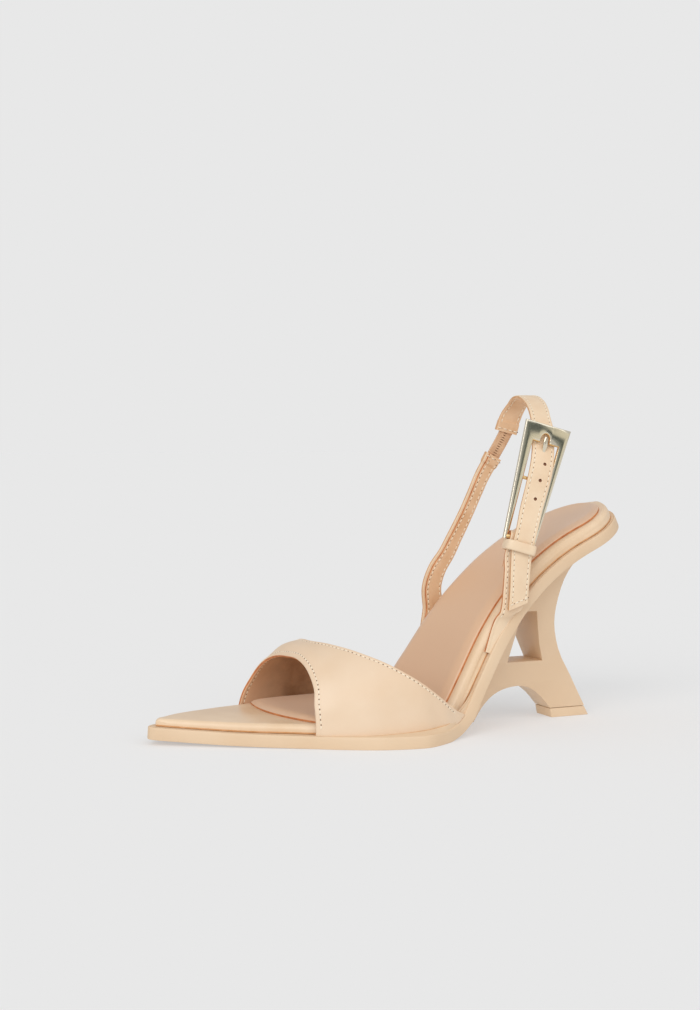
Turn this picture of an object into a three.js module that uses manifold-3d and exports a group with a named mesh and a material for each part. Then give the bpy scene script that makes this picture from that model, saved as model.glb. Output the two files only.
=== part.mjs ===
// A slingback sandal for the left foot: pointed sole, open tower heel, one wide vamp, buckled ankle sling.
// Lengths are millimetres. X points to the outer side of the foot, Y from toe to heel and Z up.
// The origin is on the floor, in the middle of the flat tread under the ball of the foot.
import * as THREE from "three";
import { mergeVertices } from "three/addons/utils/BufferGeometryUtils.js";
import Module from "manifold-3d";

const wasm = await Module();
wasm.setup();

// Driving dimensions of the sole and the last
const SOLE_RUN = 224.8; // toe tip to heel end, measured level
const BALL_WIDTH = 84; // the half widths below are shares of this width across the ball
const HEEL_RISE = 90; // floor to the underside of the sole at its heel end
const TREAD_SHARE = 0.4084; // the origin's place on the run, from the toe tip
const OUTSOLE_THICK = 5.4;
const OUTSOLE_EDGE = 0.6; // chamfer of the outsole's edges
const FOOTBED_THICK = 5;
const SOCK_THICK = 2.5; // padded middle of the sock
const SOCK_EDGE = 1.1; // cut edge of the sock
const SOCK_PAD = 5; // the sock rises from edge to full thickness over this width
const SOCK_INSET = 3.7; // from the footbed's rim to the sock's edge
const SOCK_BOW = 7; // how far the sock's front edge bows forward
const FOOTBED_LEDGE = 3; // ledge of the outsole that shows round the footbed
const BALL_SHELF = 4.6; // the outsole stands out this much further beside the ball
const TOE_CORNER = 2.6; // the blunt tip rounds off over this length
const TOE_BLUNT = 0.35; // share of its width that the tip starts with
const SEAT_RADIUS = 27; // round heel end, seen from above
const SEAM = 0.3; // gap between two pieces that meet

// Driving dimensions of the vamp
const LEATHER = 1.6; // wall of the vamp
const VAMP_LEDGE = 1.3; // ledge of the outsole that shows outside the vamp
const VAMP_LEAN = 0.5; // the wall leans in this far over the footbed's height
const VAMP_CROWN = 41.5; // height of the last's crown, outer face, at the vamp's rear edge
const CROWN_ACROSS = -4; // the crown's ridge lies this far across
const SECTION_POWER = 2.3; // squareness of the last's section: 2 is an ellipse

// Driving dimensions of the heel
const HEEL_WIDE = 13.4; // thickness of the heel's plate
const HEEL_FLARE = 36; // width of the plate where it meets the seat
const HEEL_ACROSS = 1.5; // middle of the plate
const LIFT_THICK = 4.2; // top lift, the piece that treads the floor
const LEG_CLEAR = 0.8; // the front leg stops this far above the floor

// Driving dimensions of the straps
const LOOP_ABOVE_SEAT = 57.6; // middle of the sling's top above HEEL_RISE
const STRAP_WIDTH = 10;
const STRAP_THICK = 1.6;
const STRAP_LEDGE = 0.3; // from the outsole's edge to a strap's outer face
const STRAP_BURY = 14; // length of strap that the sole's cut takes off again
const TIP_SLANT = 1.9; // half the slant of the sling's cut end
const CUFF_THICK = 3; // two layers of leather round the elastic
const ELASTIC_WIDTH = 6.4;
const ELASTIC_THICK = 1;
const ELASTIC_GRIP = 5; // length of elastic inside each cuff

// Driving dimensions of the buckle
const FRAME_HEIGHT = 53.4;
const FRAME_TOP = 21.2; // outer width at the top
const FRAME_BOTTOM = 15; // outer width at the bottom
const FRAME_OPENING = 11.5; // width of the window at the bottom bar
const OPENING_SHIFT = 0.25; // its middle lies this far to the heel
const OPENING_FLARE = 0.75; // it is this much wider at the top, on the heel side
const FRAME_TOP_BAR = 8.4;
const FRAME_BOTTOM_BAR = 1.2; // radius of the bar that the lower strap folds round
const FRAME_THICK = 2;
const FRAME_BEVEL = 0.5;
const NOTCH_RADIUS = 2.2; // recess in the top bar that the prong's tip rests in
const NOTCH_REACH = 2; // height of the recess's middle above the window
const PIVOT_HEIGHT = 27; // pivot bar above the bottom bar
const PIVOT_RADIUS = 0.75;
const PIVOT_BACK = 1; // the pivot bar lies this far behind the frame's middle
const PRONG_RADIUS = 0.65;
const PRONG_RING = 0.55; // wall of the prong's ring round the pivot bar
const PRONG_RING_WIDE = 2.6;
const KEEPER_WIDE = 4.4;
const KEEPER_THICK = 1.2;
const KEEPER_DROP = 3.6; // middle of the keeper below the bottom bar
const KEEPER_ROOM = 1.22; // its inner width, in strap widths
const KEEPER_SHIFT = 0.6; // it sits this far to the heel
const FRAME_LEAN = 16; // degrees that the buckle leans to the heel
const FRAME_TURN = 12; // degrees that its face turns to the toe
const FRAME_TUCK = 4; // degrees that its top leans in over the foot

// The sole from toe tip (along 0) to heel end (along 1). rise: underside, share of HEEL_RISE, at the outer
// edge. outer and inner: half widths, shares of BALL_WIDTH. skew: how far the line across the sole
// slants to the toe on the inner side. bed, ledge: shares of FOOTBED_THICK and FOOTBED_LEDGE. vamp: 1
// where the vamp's wall stands between the footbed and the ledge. cup: share of SEAT_CUP.
const SOLE = [
  { along: 0, rise: 0.028, outer: -0.03, inner: -0.092, skew: 0, bed: 0.6, ledge: 1, vamp: 0, cup: 0 },
  { along: 0.07, rise: 0.017, outer: 0.082, inner: -0.25, skew: 0, bed: 0.66, ledge: 0.95, vamp: 0, cup: 0 },
  { along: 0.145, rise: 0.008, outer: 0.203, inner: -0.35, skew: 0, bed: 0.72, ledge: 0.95, vamp: 0, cup: 0 },
  { along: 0.235, rise: 0.002, outer: 0.338, inner: -0.443, skew: 0, bed: 0.76, ledge: 0.8, vamp: 1, cup: 0 },
  { along: 0.313, rise: 0, outer: 0.45, inner: -0.485, skew: 0, bed: 0.8, ledge: 0.8, vamp: 1, cup: 0 },
  { along: 0.39, rise: 0, outer: 0.52, inner: -0.484, skew: 0.03, bed: 0.85, ledge: 0.8, vamp: 1, cup: 0 },
  { along: 0.46, rise: 0, outer: 0.54, inner: -0.44, skew: 0.08, bed: 0.92, ledge: 0.8, vamp: 1, cup: 0.1 },
  { along: 0.517, rise: 0, outer: 0.505, inner: -0.395, skew: 0.12, bed: 1, ledge: 0.8, vamp: 1, cup: 0.2 },
  { along: 0.555, rise: 0.013, outer: 0.458, inner: -0.365, skew: 0.135, bed: 1.04, ledge: 0.8, vamp: 1, cup: 0.3 },
  { along: 0.591, rise: 0.062, outer: 0.414, inner: -0.34, skew: 0.135, bed: 1.06, ledge: 0.8, vamp: 1, cup: 0.3 },
  { along: 0.632, rise: 0.224, outer: 0.388, inner: -0.32, skew: 0.12, bed: 1.08, ledge: 0.8, vamp: 0, cup: 0.3 },
  { along: 0.684, rise: 0.434, outer: 0.364, inner: -0.305, skew: 0.1, bed: 1.08, ledge: 0.8, vamp: 0, cup: 0.3 },
  { along: 0.731, rise: 0.582, outer: 0.346, inner: -0.3, skew: 0.08, bed: 1.08, ledge: 0.75, vamp: 0, cup: 0.4 },
  { along: 0.787, rise: 0.712, outer: 0.332, inner: -0.304, skew: 0.06, bed: 1.08, ledge: 0.7, vamp: 0, cup: 0.6 },
  { along: 0.852, rise: 0.821, outer: 0.323, inner: -0.314, skew: 0.03, bed: 1.08, ledge: 0.65, vamp: 0, cup: 0.9 },
  { along: 0.934, rise: 0.92, outer: 0.32, inner: -0.322, skew: 0, bed: 1.06, ledge: 0.6, vamp: 0, cup: 1 },
  { along: 1, rise: 1, outer: 0.32, inner: -0.322, skew: 0, bed: 1, ledge: 0.6, vamp: 0, cup: 1 },
];
const SEAT_CUP = 1.3; // depth of the hollow where the heel of the foot rests

// How far the outsole's outer edge stands out beside the ball: share of BALL_SHELF.
const SHELF = [
  { along: 0.28, share: 0 },
  { along: 0.356, share: 0.5 },
  { along: 0.416, share: 0.88 },
  { along: 0.455, share: 1 },
  { along: 0.49, share: 0.72 },
  { along: 0.52, share: 0.36 },
  { along: 0.57, share: 0 },
];

// The last's crown over the forefoot, outer face: shares of SOLE_RUN and VAMP_CROWN.
const CROWN = [
  { along: 0.2, height: 0.6 },
  { along: 0.245, height: 0.755 },
  { along: 0.271, height: 0.845 },
  { along: 0.295, height: 0.95 },
  { along: 0.322, height: 0.985 },
  { along: 0.367, height: 1.075 },
  { along: 0.434, height: 1.22 },
  { along: 0.5, height: 1.32 },
  { along: 0.6, height: 1.42 },
];
// The vamp's two edges. round: share of the way over the foot, from the outer sole edge to the inner one.
const VAMP = [
  { along: 0, front: 0.272, back: 0.578 },
  { along: 0.1, front: 0.272, back: 0.49 },
  { along: 0.2, front: 0.277, back: 0.421 },
  { along: 0.3, front: 0.2775, back: 0.373 },
  { along: 0.4, front: 0.276, back: 0.341 },
  { along: 0.5, front: 0.27, back: 0.323 },
  { along: 0.6, front: 0.264, back: 0.326 },
  { along: 0.7, front: 0.258, back: 0.358 },
  { along: 0.8, front: 0.25, back: 0.408 },
  { along: 0.9, front: 0.236, back: 0.465 },
  { along: 1, front: 0.227, back: 0.525 },
];

// Side outline of the heel: along as on the sole, up as a share of HEEL_RISE.
const HEEL_BACK = [
  { along: 0.9198, up: 0.05 },
  { along: 0.8866, up: 0.201 },
  { along: 0.851, up: 0.346 },
  { along: 0.8325, up: 0.478 },
  { along: 0.8322, up: 0.597 },
  { along: 0.847, up: 0.733 },
  { along: 0.8782, up: 0.84 },
  { along: 0.9201, up: 0.95 },
];
const HEEL_ARCH = [
  { along: 0.66, up: 0.009 },
  { along: 0.682, up: 0.089 },
  { along: 0.7115, up: 0.149 },
  { along: 0.7487, up: 0.175 },
  { along: 0.7841, up: 0.167 },
  { along: 0.8138, up: 0.118 },
  { along: 0.838, up: 0.05 },
];
const HEEL_WINDOW = [
  { along: 0.7329, up: 0.301 },
  { along: 0.8144, up: 0.301 },
  { along: 0.8018, up: 0.393 },
  { along: 0.7937, up: 0.48 },
  { along: 0.7876, up: 0.562 },
  { along: 0.753, up: 0.562 },
];
const LIFT_FOOT = [0.8419, 0.93]; // the tread of the top lift, front and back
// Half width of the heel's plate by height: 0 is HEEL_WIDE, 1 is HEEL_FLARE.
const HEEL_SPREAD = [
  { along: 0, spread: 0 },
  { along: 0.12, spread: 0 },
  { along: 0.2, spread: 0.05 },
  { along: 0.3, spread: 0.16 },
  { along: 0.44, spread: 0.42 },
  { along: 0.55, spread: 0.6 },
  { along: 0.7, spread: 0.8 },
  { along: 0.86, spread: 0.94 },
  { along: 1.1, spread: 1 },
];

// Middle lines of the straps. across: share of BALL_WIDTH, along: as on the sole, up: height above the
// floor as a share of the sling's. wide: share of STRAP_WIDTH. turn: degrees from the Y axis.
const STRAP_FOOT = 0.68; // middle of the lower strap's foot, along the sole
const LOWER_STRAP = [
  { across: 0.37, along: 0.6895, up: 0.359, wide: 1.18, turn: 0 },
  { across: 0.372, along: 0.6933, up: 0.427, wide: 1.1, turn: 0 },
  { across: 0.373, along: 0.695, up: 0.488, wide: 1.02, turn: 4 },
];
const FRAME_FOOT = { across: 0.357, along: 0.7074, up: 0.573 };
const SLING_TIP = [
  { across: 0.401, along: 0.7002, up: 0.4785, wide: 0.94, turn: 4 },
  { across: 0.4, along: 0.6984, up: 0.429, wide: 0.93, turn: 0 },
  { across: 0.399, along: 0.696, up: 0.3755, wide: 0.92, turn: 0 },
];
const SLING_LOOP = [
  { across: 0.267, along: 0.771, up: 0.948, wide: 1, turn: -6 },
  { across: 0.22, along: 0.777, up: 0.966, wide: 1, turn: -4 },
  { across: 0.149, along: 0.784, up: 0.985, wide: 1, turn: 0 },
  { across: 0.06, along: 0.7905, up: 0.998, wide: 1, turn: 0 },
  { across: -0.036, along: 0.797, up: 0.995, wide: 1, turn: 0 },
  { across: -0.107, along: 0.802, up: 0.9765, wide: 1, turn: 4 },
  { across: -0.145, along: 0.7995, up: 0.9525, wide: 1, turn: 8 },
  { across: -0.16, along: 0.7935, up: 0.926, wide: 1.02, turn: 10 },
  { across: -0.1625, along: 0.7925, up: 0.919, wide: 1.02, turn: 10, cuff: true },
  { across: -0.171, along: 0.788, up: 0.89, wide: 1.04, turn: 10, cuff: true },
];
const MEDIAL_FOOT = 0.64; // middle of the inner strap's foot
const MEDIAL_STRAP = [
  { across: -0.309, along: 0.6455, up: 0.332, wide: 1.02, turn: 0 },
  { across: -0.306, along: 0.642, up: 0.4, wide: 0.98, turn: 0 },
  { across: -0.293, along: 0.652, up: 0.4575, wide: 0.92, turn: 0 },
  { across: -0.278, along: 0.671, up: 0.507, wide: 0.84, turn: 0 },
  { across: -0.268, along: 0.6855, up: 0.5525, wide: 0.79, turn: 0 },
  { across: -0.25, along: 0.709, up: 0.6285, wide: 0.74, turn: 0 },
  { across: -0.234, along: 0.727, up: 0.6945, wide: 0.72, turn: 2 },
  { across: -0.221, along: 0.7425, up: 0.7515, wide: 0.74, turn: 4 },
  { across: -0.213, along: 0.7535, up: 0.783, wide: 0.76, turn: 4 },
  { across: -0.211, along: 0.756, up: 0.79, wide: 0.8, turn: 4, cuff: true },
  { across: -0.203, along: 0.765, up: 0.8155, wide: 0.83, turn: 6, cuff: true },
];

// How finely the curved pieces are cut
const SOLE_RINGS = 58;
const END_RINGS = 7;
const VAMP_ROUND = 34;
const VAMP_LONG = 8;
const CURVE_STEPS = 10;
const BAR_SIDES = 12;

const DEGREE = Math.PI / 180;
const { clamp, lerp } = THREE.MathUtils;

// A column of a table as a smooth function of along. It never swings past the rows on either side.
function column(rows, name) {
  const at = rows.map((row) => row.along);
  const value = rows.map((row) => row[name]);
  const last = rows.length - 2;
  const slope = rows.slice(1).map((_, i) => (value[i + 1] - value[i]) / (at[i + 1] - at[i]));
  const lean = value.map((_, i) => {
    const before = slope[Math.max(i - 1, 0)];
    const after = slope[Math.min(i, last)];
    return before * after > 0 ? (2 * before * after) / (before + after) : 0;
  });
  return (along) => {
    let i = 0;
    while (i < last && along > at[i + 1]) i += 1;
    const span = at[i + 1] - at[i];
    const t = clamp((along - at[i]) / span, 0, 1);
    const rest = 1 - t;
    const ends = value[i] * (1 + 2 * t) * rest * rest + value[i + 1] * (3 - 2 * t) * t * t;
    return ends + span * t * rest * (lean[i] * rest - lean[i + 1] * t);
  };
}

const runY = (along) => (along - TREAD_SHARE) * SOLE_RUN;
const runShare = (y) => y / SOLE_RUN + TREAD_SHARE;
const rise = column(SOLE, "rise");
const lateral = column(SOLE, "outer");
const medial = column(SOLE, "inner");
const skew = column(SOLE, "skew");
const footbedShare = column(SOLE, "bed");
const ledgeShare = column(SOLE, "ledge");
const underVamp = column(SOLE, "vamp");
const cupShare = column(SOLE, "cup");
const SKEW_EDGE = 0.38 * BALL_WIDTH; // the outer edge, from which skew is counted

// The underside followed from toe to heel: s is the length walked, pitch the slope there.
function walkUnderside() {
  const steps = 900;
  const turnWeight = 30; // counts a radian of bend as this much length, so bends get more sections
  const walk = [{ s: 0, pace: 0, y: runY(0), z: HEEL_RISE * rise(0) }];
  for (let i = 1; i <= steps; i += 1) {
    const along = i / steps;
    const before = walk[i - 1];
    const y = runY(along);
    const z = HEEL_RISE * rise(along);
    const pitch = Math.atan2(z - before.z, y - before.y);
    const length = Math.hypot(z - before.z, y - before.y);
    const bend = Math.abs(pitch - (before.pitch ?? pitch));
    walk.push({ s: before.s + length, pace: before.pace + length + turnWeight * bend, y, z, pitch });
  }
  walk[0].pitch = walk[1].pitch;
  return walk;
}
const WALK = walkUnderside();
const SOLE_LENGTH = WALK.at(-1).s;

// The place on the walk where one of its fields reaches a value.
function walkAt(field, value) {
  let low = 0;
  let high = WALK.length - 1;
  while (high - low > 1) {
    const middle = (low + high) >> 1;
    if (WALK[middle][field] > value) high = middle;
    else low = middle;
  }
  const a = WALK[low];
  const b = WALK[high];
  const t = (value - a[field]) / (b[field] - a[field]);
  const mix = (name) => lerp(a[name], b[name], t);
  return { s: mix("s"), pace: mix("pace"), y: mix("y"), z: mix("z"), pitch: mix("pitch") };
}

// A point of the bottom assembly: s along the underside, x across, h up from the underside.
function deck(s, x, h) {
  const place = walkAt("s", s);
  const slant = skew(runShare(place.y)) * (SKEW_EDGE - x);
  const y = place.y - slant - h * Math.sin(place.pitch);
  return new THREE.Vector3(x, y, place.z + h * Math.cos(place.pitch));
}

// The place on the deck at height h that lies over the plan point x, y.
function deckOver(x, y, h) {
  let low = 0;
  let high = SOLE_LENGTH;
  for (let i = 0; i < 40; i += 1) {
    const middle = (low + high) / 2;
    if (deck(middle, x, h).y > y) high = middle;
    else low = middle;
  }
  return deck(low, x, h);
}

// The sole's edge on one side, seen from above, at section s.
function edge(s, side) {
  const place = walkAt("s", s);
  const half = side > 0 ? lateral : medial;
  let x = BALL_WIDTH * half(runShare(place.y));
  for (let i = 0; i < 4; i += 1) {
    const y = place.y - skew(runShare(place.y)) * (SKEW_EDGE - x);
    x = BALL_WIDTH * half(runShare(y));
  }
  return x;
}

// How full a layer is this far from its tip: a quarter circle from 0 to 1 over TOE_CORNER.
function tipRound(fromTip) {
  const rest = 1 - clamp(fromTip / TOE_CORNER, 0, 1);
  return Math.sqrt(1 - rest ** 2);
}

// Both edges at section s, moved in by inset, with the blunt tip's corners and the round heel end.
function outline(s, inset, tipInset = inset) {
  const step = 1;
  const sideEdge = (side) => {
    const slope = (edge(s + step, side) - edge(Math.max(s - step, 0), side)) / (2 * step);
    return edge(s, side) - side * inset * Math.hypot(1, slope);
  };
  const outer = sideEdge(1);
  const inner = sideEdge(-1);
  const middle = (outer + inner) / 2;
  let half = (outer - inner) / 2;
  const fromTip = s - tipInset;
  half *= lerp(TOE_BLUNT, 1, tipRound(fromTip));
  const pastSeat = (s - (SOLE_LENGTH - SEAT_RADIUS)) / (SEAT_RADIUS - inset);
  if (pastSeat > 0) half *= Math.sqrt(Math.max(1 - pastSeat ** 2, 0));
  return { outer: middle + half, inner: middle - half };
}

// Section places for a layer that keeps inset from the sole's edge: even paces, then finer at both ends.
function sections(tipInset, inset) {
  const places = [];
  const seatStart = SOLE_LENGTH - SEAT_RADIUS;
  for (let i = 0; i < END_RINGS; i += 2) {
    places.push(tipInset + TOE_CORNER * (1 - Math.cos((i / END_RINGS) * (Math.PI / 2))));
  }
  const from = walkAt("s", tipInset + TOE_CORNER).pace;
  const to = walkAt("s", seatStart).pace;
  for (let i = 0; i <= SOLE_RINGS; i += 1) {
    places.push(walkAt("pace", lerp(from, to, i / SOLE_RINGS)).s);
  }
  for (let i = 1; i <= END_RINGS; i += 1) {
    const angle = (i / (END_RINGS + 0.4)) * (Math.PI / 2);
    places.push(seatStart + (SEAT_RADIUS - inset) * Math.sin(angle));
  }
  return places;
}

// Manifold solid of a closed geometry, with shared corners merged.
function solid(geometry) {
  const bare = geometry.index ? geometry.toNonIndexed() : geometry.clone();
  bare.deleteAttribute("normal");
  bare.deleteAttribute("uv");
  const merged = mergeVertices(bare, 1e-4);
  const triVerts = new Uint32Array(merged.index.array);
  const vertProperties = merged.attributes.position.array;
  return new wasm.Manifold(new wasm.Mesh({ numProp: 3, vertProperties, triVerts }));
}

// Geometry of a manifold solid.
function geometryOf(made) {
  const mesh = made.getMesh();
  const points = new Float32Array(mesh.numVert * 3);
  for (let i = 0; i < mesh.numVert; i += 1) {
    points.set(mesh.vertProperties.subarray(i * mesh.numProp, i * mesh.numProp + 3), i * 3);
  }
  const geometry = new THREE.BufferGeometry();
  geometry.setAttribute("position", new THREE.BufferAttribute(points, 3));
  geometry.setIndex(new THREE.BufferAttribute(new Uint32Array(mesh.triVerts), 1));
  return geometry;
}

// Closed geometry from points and faces, turned to face out whichever way its points run.
function closed(points, faces) {
  let volume = 0;
  for (const [a, b, c] of faces) {
    volume += points[a].dot(new THREE.Vector3().crossVectors(points[b], points[c]));
  }
  const geometry = new THREE.BufferGeometry().setFromPoints(points);
  geometry.setIndex(faces.flatMap(([a, b, c]) => (volume > 0 ? [a, b, c] : [a, c, b])));
  return geometry;
}

// Skin over a row of rings with as many points each, capped at both ends or joined into a loop.
function loft(rings, looped = false) {
  const count = rings[0].length;
  const points = rings.flat();
  const faces = [];
  const spans = looped ? rings.length : rings.length - 1;
  for (let i = 0; i < spans; i += 1) {
    const here = i * count;
    const next = ((i + 1) % rings.length) * count;
    for (let j = 0; j < count; j += 1) {
      const k = (j + 1) % count;
      faces.push([here + j, here + k, next + k], [here + j, next + k, next + j]);
    }
  }
  if (!looped) {
    const end = (rings.length - 1) * count;
    for (let j = 1; j < count - 1; j += 1) {
      faces.push([0, j + 1, j], [end, end + j, end + j + 1]);
    }
  }
  return closed(points, faces);
}

// A layer of the bottom assembly: section(s) gives its points as pairs of x and h.
const layer = (places, section) => loft(places.map((s) => section(s).map(([x, h]) => deck(s, x, h))));

// Everything between two heights over the underside, wider than the sole: cuts pieces that meet it.
function slab(low, high) {
  const reach = BALL_WIDTH;
  const places = sections(0, 0);
  const ends = [-0.02 * SOLE_LENGTH, ...places, 1.06 * SOLE_LENGTH];
  const ring = () => [[reach, low], [reach, high], [-reach, high], [-reach, low]];
  return solid(layer(ends, ring));
}

const alongAt = (s) => runShare(walkAt("s", s).y);
const footbedTop = (s) => OUTSOLE_THICK + SEAM + FOOTBED_THICK * footbedShare(alongAt(s));

// Width of the ledge from the outsole's edge to the footbed's rim, with room for the vamp's wall.
function ledgeWidth(s) {
  const vampRoom = VAMP_LEDGE + LEATHER + VAMP_LEAN + SEAM;
  return lerp(FOOTBED_LEDGE * ledgeShare(alongAt(s)), vampRoom, underVamp(alongAt(s)));
}

const shelfShare = column(SHELF, "share");

function outsole() {
  const places = sections(0, 0);
  return layer(places, (s) => {
    const { outer: lastEdge, inner } = outline(s, 0);
    const outer = lastEdge + BALL_SHELF * shelfShare(alongAt(s));
    const cut = Math.min(OUTSOLE_EDGE, (outer - inner) / 4);
    const top = OUTSOLE_THICK;
    return [
      [outer - cut / 2, 0], [outer, cut / 2], [outer, top - cut], [outer - cut, top],
      [inner + cut, top], [inner, top - cut], [inner, cut / 2], [inner + cut / 2, 0],
    ];
  });
}

// Leather-wrapped insole board with a round rim.
function footbed() {
  const tipInset = FOOTBED_LEDGE * SOLE[0].ledge;
  const seatInset = FOOTBED_LEDGE * SOLE.at(-1).ledge;
  return layer(sections(tipInset, seatInset), (s) => {
    const { outer, inner } = outline(s, ledgeWidth(s), tipInset);
    const low = OUTSOLE_THICK + SEAM;
    const high = lerp(low, footbedTop(s), lerp(0.5, 1, tipRound(s - tipInset)));
    const rim = Math.min((high - low) / 2, (outer - inner) / 4);
    const half = (high - low) / 2;
    const round = [-90, -45, 0, 30, 60, 90].map((angle) => [
      rim * (Math.cos(angle * DEGREE) - 1),
      low + half * (1 + Math.sin(angle * DEGREE)),
    ]);
    const outerRim = round.map(([dx, h]) => [outer + dx, h]);
    const innerRim = round.map(([dx, h]) => [inner - dx, h]).reverse();
    return [...outerRim, ...innerRim];
  });
}

// Padded sock: a thin cut edge, a soft rise to its middle, and a hollow under the heel of the foot.
function sock() {
  const seatInset = FOOTBED_LEDGE * SOLE.at(-1).ledge + SOCK_INSET;
  const frontAlong = VAMP[0].front - 0.06;
  const first = walkAt("y", runY(frontAlong)).s;
  const places = sections(0, seatInset).filter((s) => s > first);
  const full = layer(places, (s) => {
    const { outer, inner } = outline(s, ledgeWidth(s) + SOCK_INSET);
    const low = footbedTop(s) + SEAM;
    const middle = (outer + inner) / 2;
    const half = (outer - inner) / 2;
    const cup = SEAT_CUP * cupShare(alongAt(s));
    const across = [1, 1 - (0.35 * SOCK_PAD) / half, 1 - SOCK_PAD / half, 0.4, 0].map((t) => Math.max(t, 0));
    const pad = [0, 0.62, 1, 1, 1];
    const height = across.map((t, i) => lerp(SOCK_EDGE, SOCK_THICK, pad[i]) - cup * (1 - t * t));
    const outerTop = across.map((t, i) => [middle + t * half, low + height[i]]);
    const innerTop = across.slice(0, -1).map((t, i) => [middle - t * half, low + height[i]]).reverse();
    return [[outer, low], ...outerTop, ...innerTop, [inner, low]];
  });
  return geometryOf(solid(full).subtract(solid(sockFrontCut())));
}

// What lies in front of the sock's bowed front edge.
function sockFrontCut() {
  const frontOuter = new THREE.Vector2(BALL_WIDTH * 0.33, runY(VAMP[0].front + 0.013));
  const frontInner = new THREE.Vector2(-BALL_WIDTH * 0.46, runY(VAMP[0].front - 0.014));
  const middle = new THREE.Vector2().lerpVectors(frontOuter, frontInner, 0.5);
  const bow = new THREE.QuadraticBezierCurve(
    frontOuter, new THREE.Vector2(middle.x, middle.y - 2 * SOCK_BOW), frontInner,
  );
  const shape = new THREE.Shape([
    new THREE.Vector2(BALL_WIDTH, runY(-0.1)),
    new THREE.Vector2(BALL_WIDTH, frontOuter.y + 1.2 * SOCK_BOW),
    ...bow.getPoints(CURVE_STEPS),
    new THREE.Vector2(-BALL_WIDTH, frontInner.y + 1.2 * SOCK_BOW),
    new THREE.Vector2(-BALL_WIDTH, runY(-0.1)),
  ]);
  return new THREE.ExtrudeGeometry(shape, { depth: VAMP_CROWN, bevelEnabled: false });
}

const crownHeight = column(CROWN, "height");
const vampFront = column(VAMP, "front");
const vampBack = column(VAMP, "back");

// Outer face of the vamp. round runs over the foot, long from front edge to back edge, both 0 to 1.
function vampFace(round, long) {
  const along = lerp(vampFront(round), vampBack(round), long);
  const y = runY(along);
  const side = round < 0.5 ? 1 : -1;
  const half = side > 0 ? lateral : medial;
  const footX = BALL_WIDTH * half(along) - side * VAMP_LEDGE;
  const footZ = deckOver(footX, y, OUTSOLE_THICK + SEAM).z;
  const angle = Math.PI * round;
  const reach = Math.abs(Math.cos(angle)) ** (2 / SECTION_POWER);
  const lift = Math.sin(angle) ** (2 / SECTION_POWER);
  const x = lerp(CROWN_ACROSS, footX, reach);
  return new THREE.Vector3(x, y, lerp(footZ, VAMP_CROWN * crownHeight(along), lift));
}

// The vamp's wall, thickened inwards. Its feet stay level with the outer face's.
function vamp() {
  const outerSkin = [];
  const innerSkin = [];
  const step = 1e-3;
  for (let i = 0; i <= VAMP_ROUND; i += 1) {
    const round = i / VAMP_ROUND;
    const a = clamp(round, step, 1 - step);
    for (let j = 0; j <= VAMP_LONG; j += 1) {
      const long = j / VAMP_LONG;
      const b = clamp(long, step, 1 - step);
      const face = vampFace(round, long);
      const overFoot = vampFace(a + step, b).sub(vampFace(a - step, b));
      const backward = vampFace(a, b + step).sub(vampFace(a, b - step));
      const inward = new THREE.Vector3().crossVectors(overFoot, backward).normalize();
      if (i === 0 || i === VAMP_ROUND) inward.set(i === 0 ? -1 : 1, 0, 0);
      const foot = face.z;
      const back = face.clone().addScaledVector(inward, LEATHER);
      if (i === 0 || i === VAMP_ROUND) back.z = foot;
      outerSkin.push(face);
      innerSkin.push(back);
    }
  }
  return wall(outerSkin, innerSkin, VAMP_ROUND, VAMP_LONG);
}

// A closed wall between two grids of rows by columns, given one after the other as lists.
function wall(outerSkin, innerSkin, rows, columns) {
  const points = [...outerSkin, ...innerSkin];
  const width = columns + 1;
  const offset = outerSkin.length;
  const faces = [];
  const quad = (a, b, c, d) => faces.push([a, b, c], [a, c, d]);
  for (let i = 0; i < rows; i += 1) {
    for (let j = 0; j < columns; j += 1) {
      const a = i * width + j;
      quad(a, a + 1, a + width + 1, a + width);
      quad(offset + a + width, offset + a + width + 1, offset + a + 1, offset + a);
    }
    const first = i * width;
    const last = first + columns;
    quad(first + width, offset + first + width, offset + first, first);
    quad(last, offset + last, offset + last + width, last + width);
  }
  for (let j = 0; j < columns; j += 1) {
    const last = rows * width + j;
    quad(j, offset + j, offset + j + 1, j + 1);
    quad(last + 1, offset + last + 1, offset + last, last);
  }
  return closed(points, faces);
}

const sidePoint = ({ along, up }) => new THREE.Vector2(runY(along), HEEL_RISE * up);

// An outline in Y and Z pushed out along X, width wide, about the heel's middle plane.
function plate(shape, width) {
  const geometry = new THREE.ExtrudeGeometry(shape, { depth: width, bevelEnabled: false });
  const toYZ = new THREE.Matrix4().makeBasis(
    new THREE.Vector3(0, 1, 0), new THREE.Vector3(0, 0, 1), new THREE.Vector3(1, 0, 0),
  );
  return geometry.translate(0, 0, -width / 2).applyMatrix4(toYZ).translate(HEEL_ACROSS, 0, 0);
}

function heelSide() {
  const back = new THREE.SplineCurve(HEEL_BACK.map(sidePoint)).getPoints(CURVE_STEPS * 2);
  const arch = new THREE.SplineCurve(HEEL_ARCH.map(sidePoint)).getPoints(CURVE_STEPS * 2);
  back[0].y = LIFT_THICK + SEAM;
  arch.at(-1).y = LIFT_THICK + SEAM;
  arch[0].y = LEG_CLEAR;
  const front = runY(SOLE[7].along);
  const shape = new THREE.Shape([
    new THREE.Vector2(front, LEG_CLEAR),
    ...arch,
    ...back,
    new THREE.Vector2(back.at(-1).x, HEEL_RISE * 1.2),
    new THREE.Vector2(front, HEEL_RISE * 1.2),
  ]);
  shape.holes.push(new THREE.Path(HEEL_WINDOW.map(sidePoint)));
  return plate(shape, HEEL_FLARE * 1.5);
}

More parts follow.
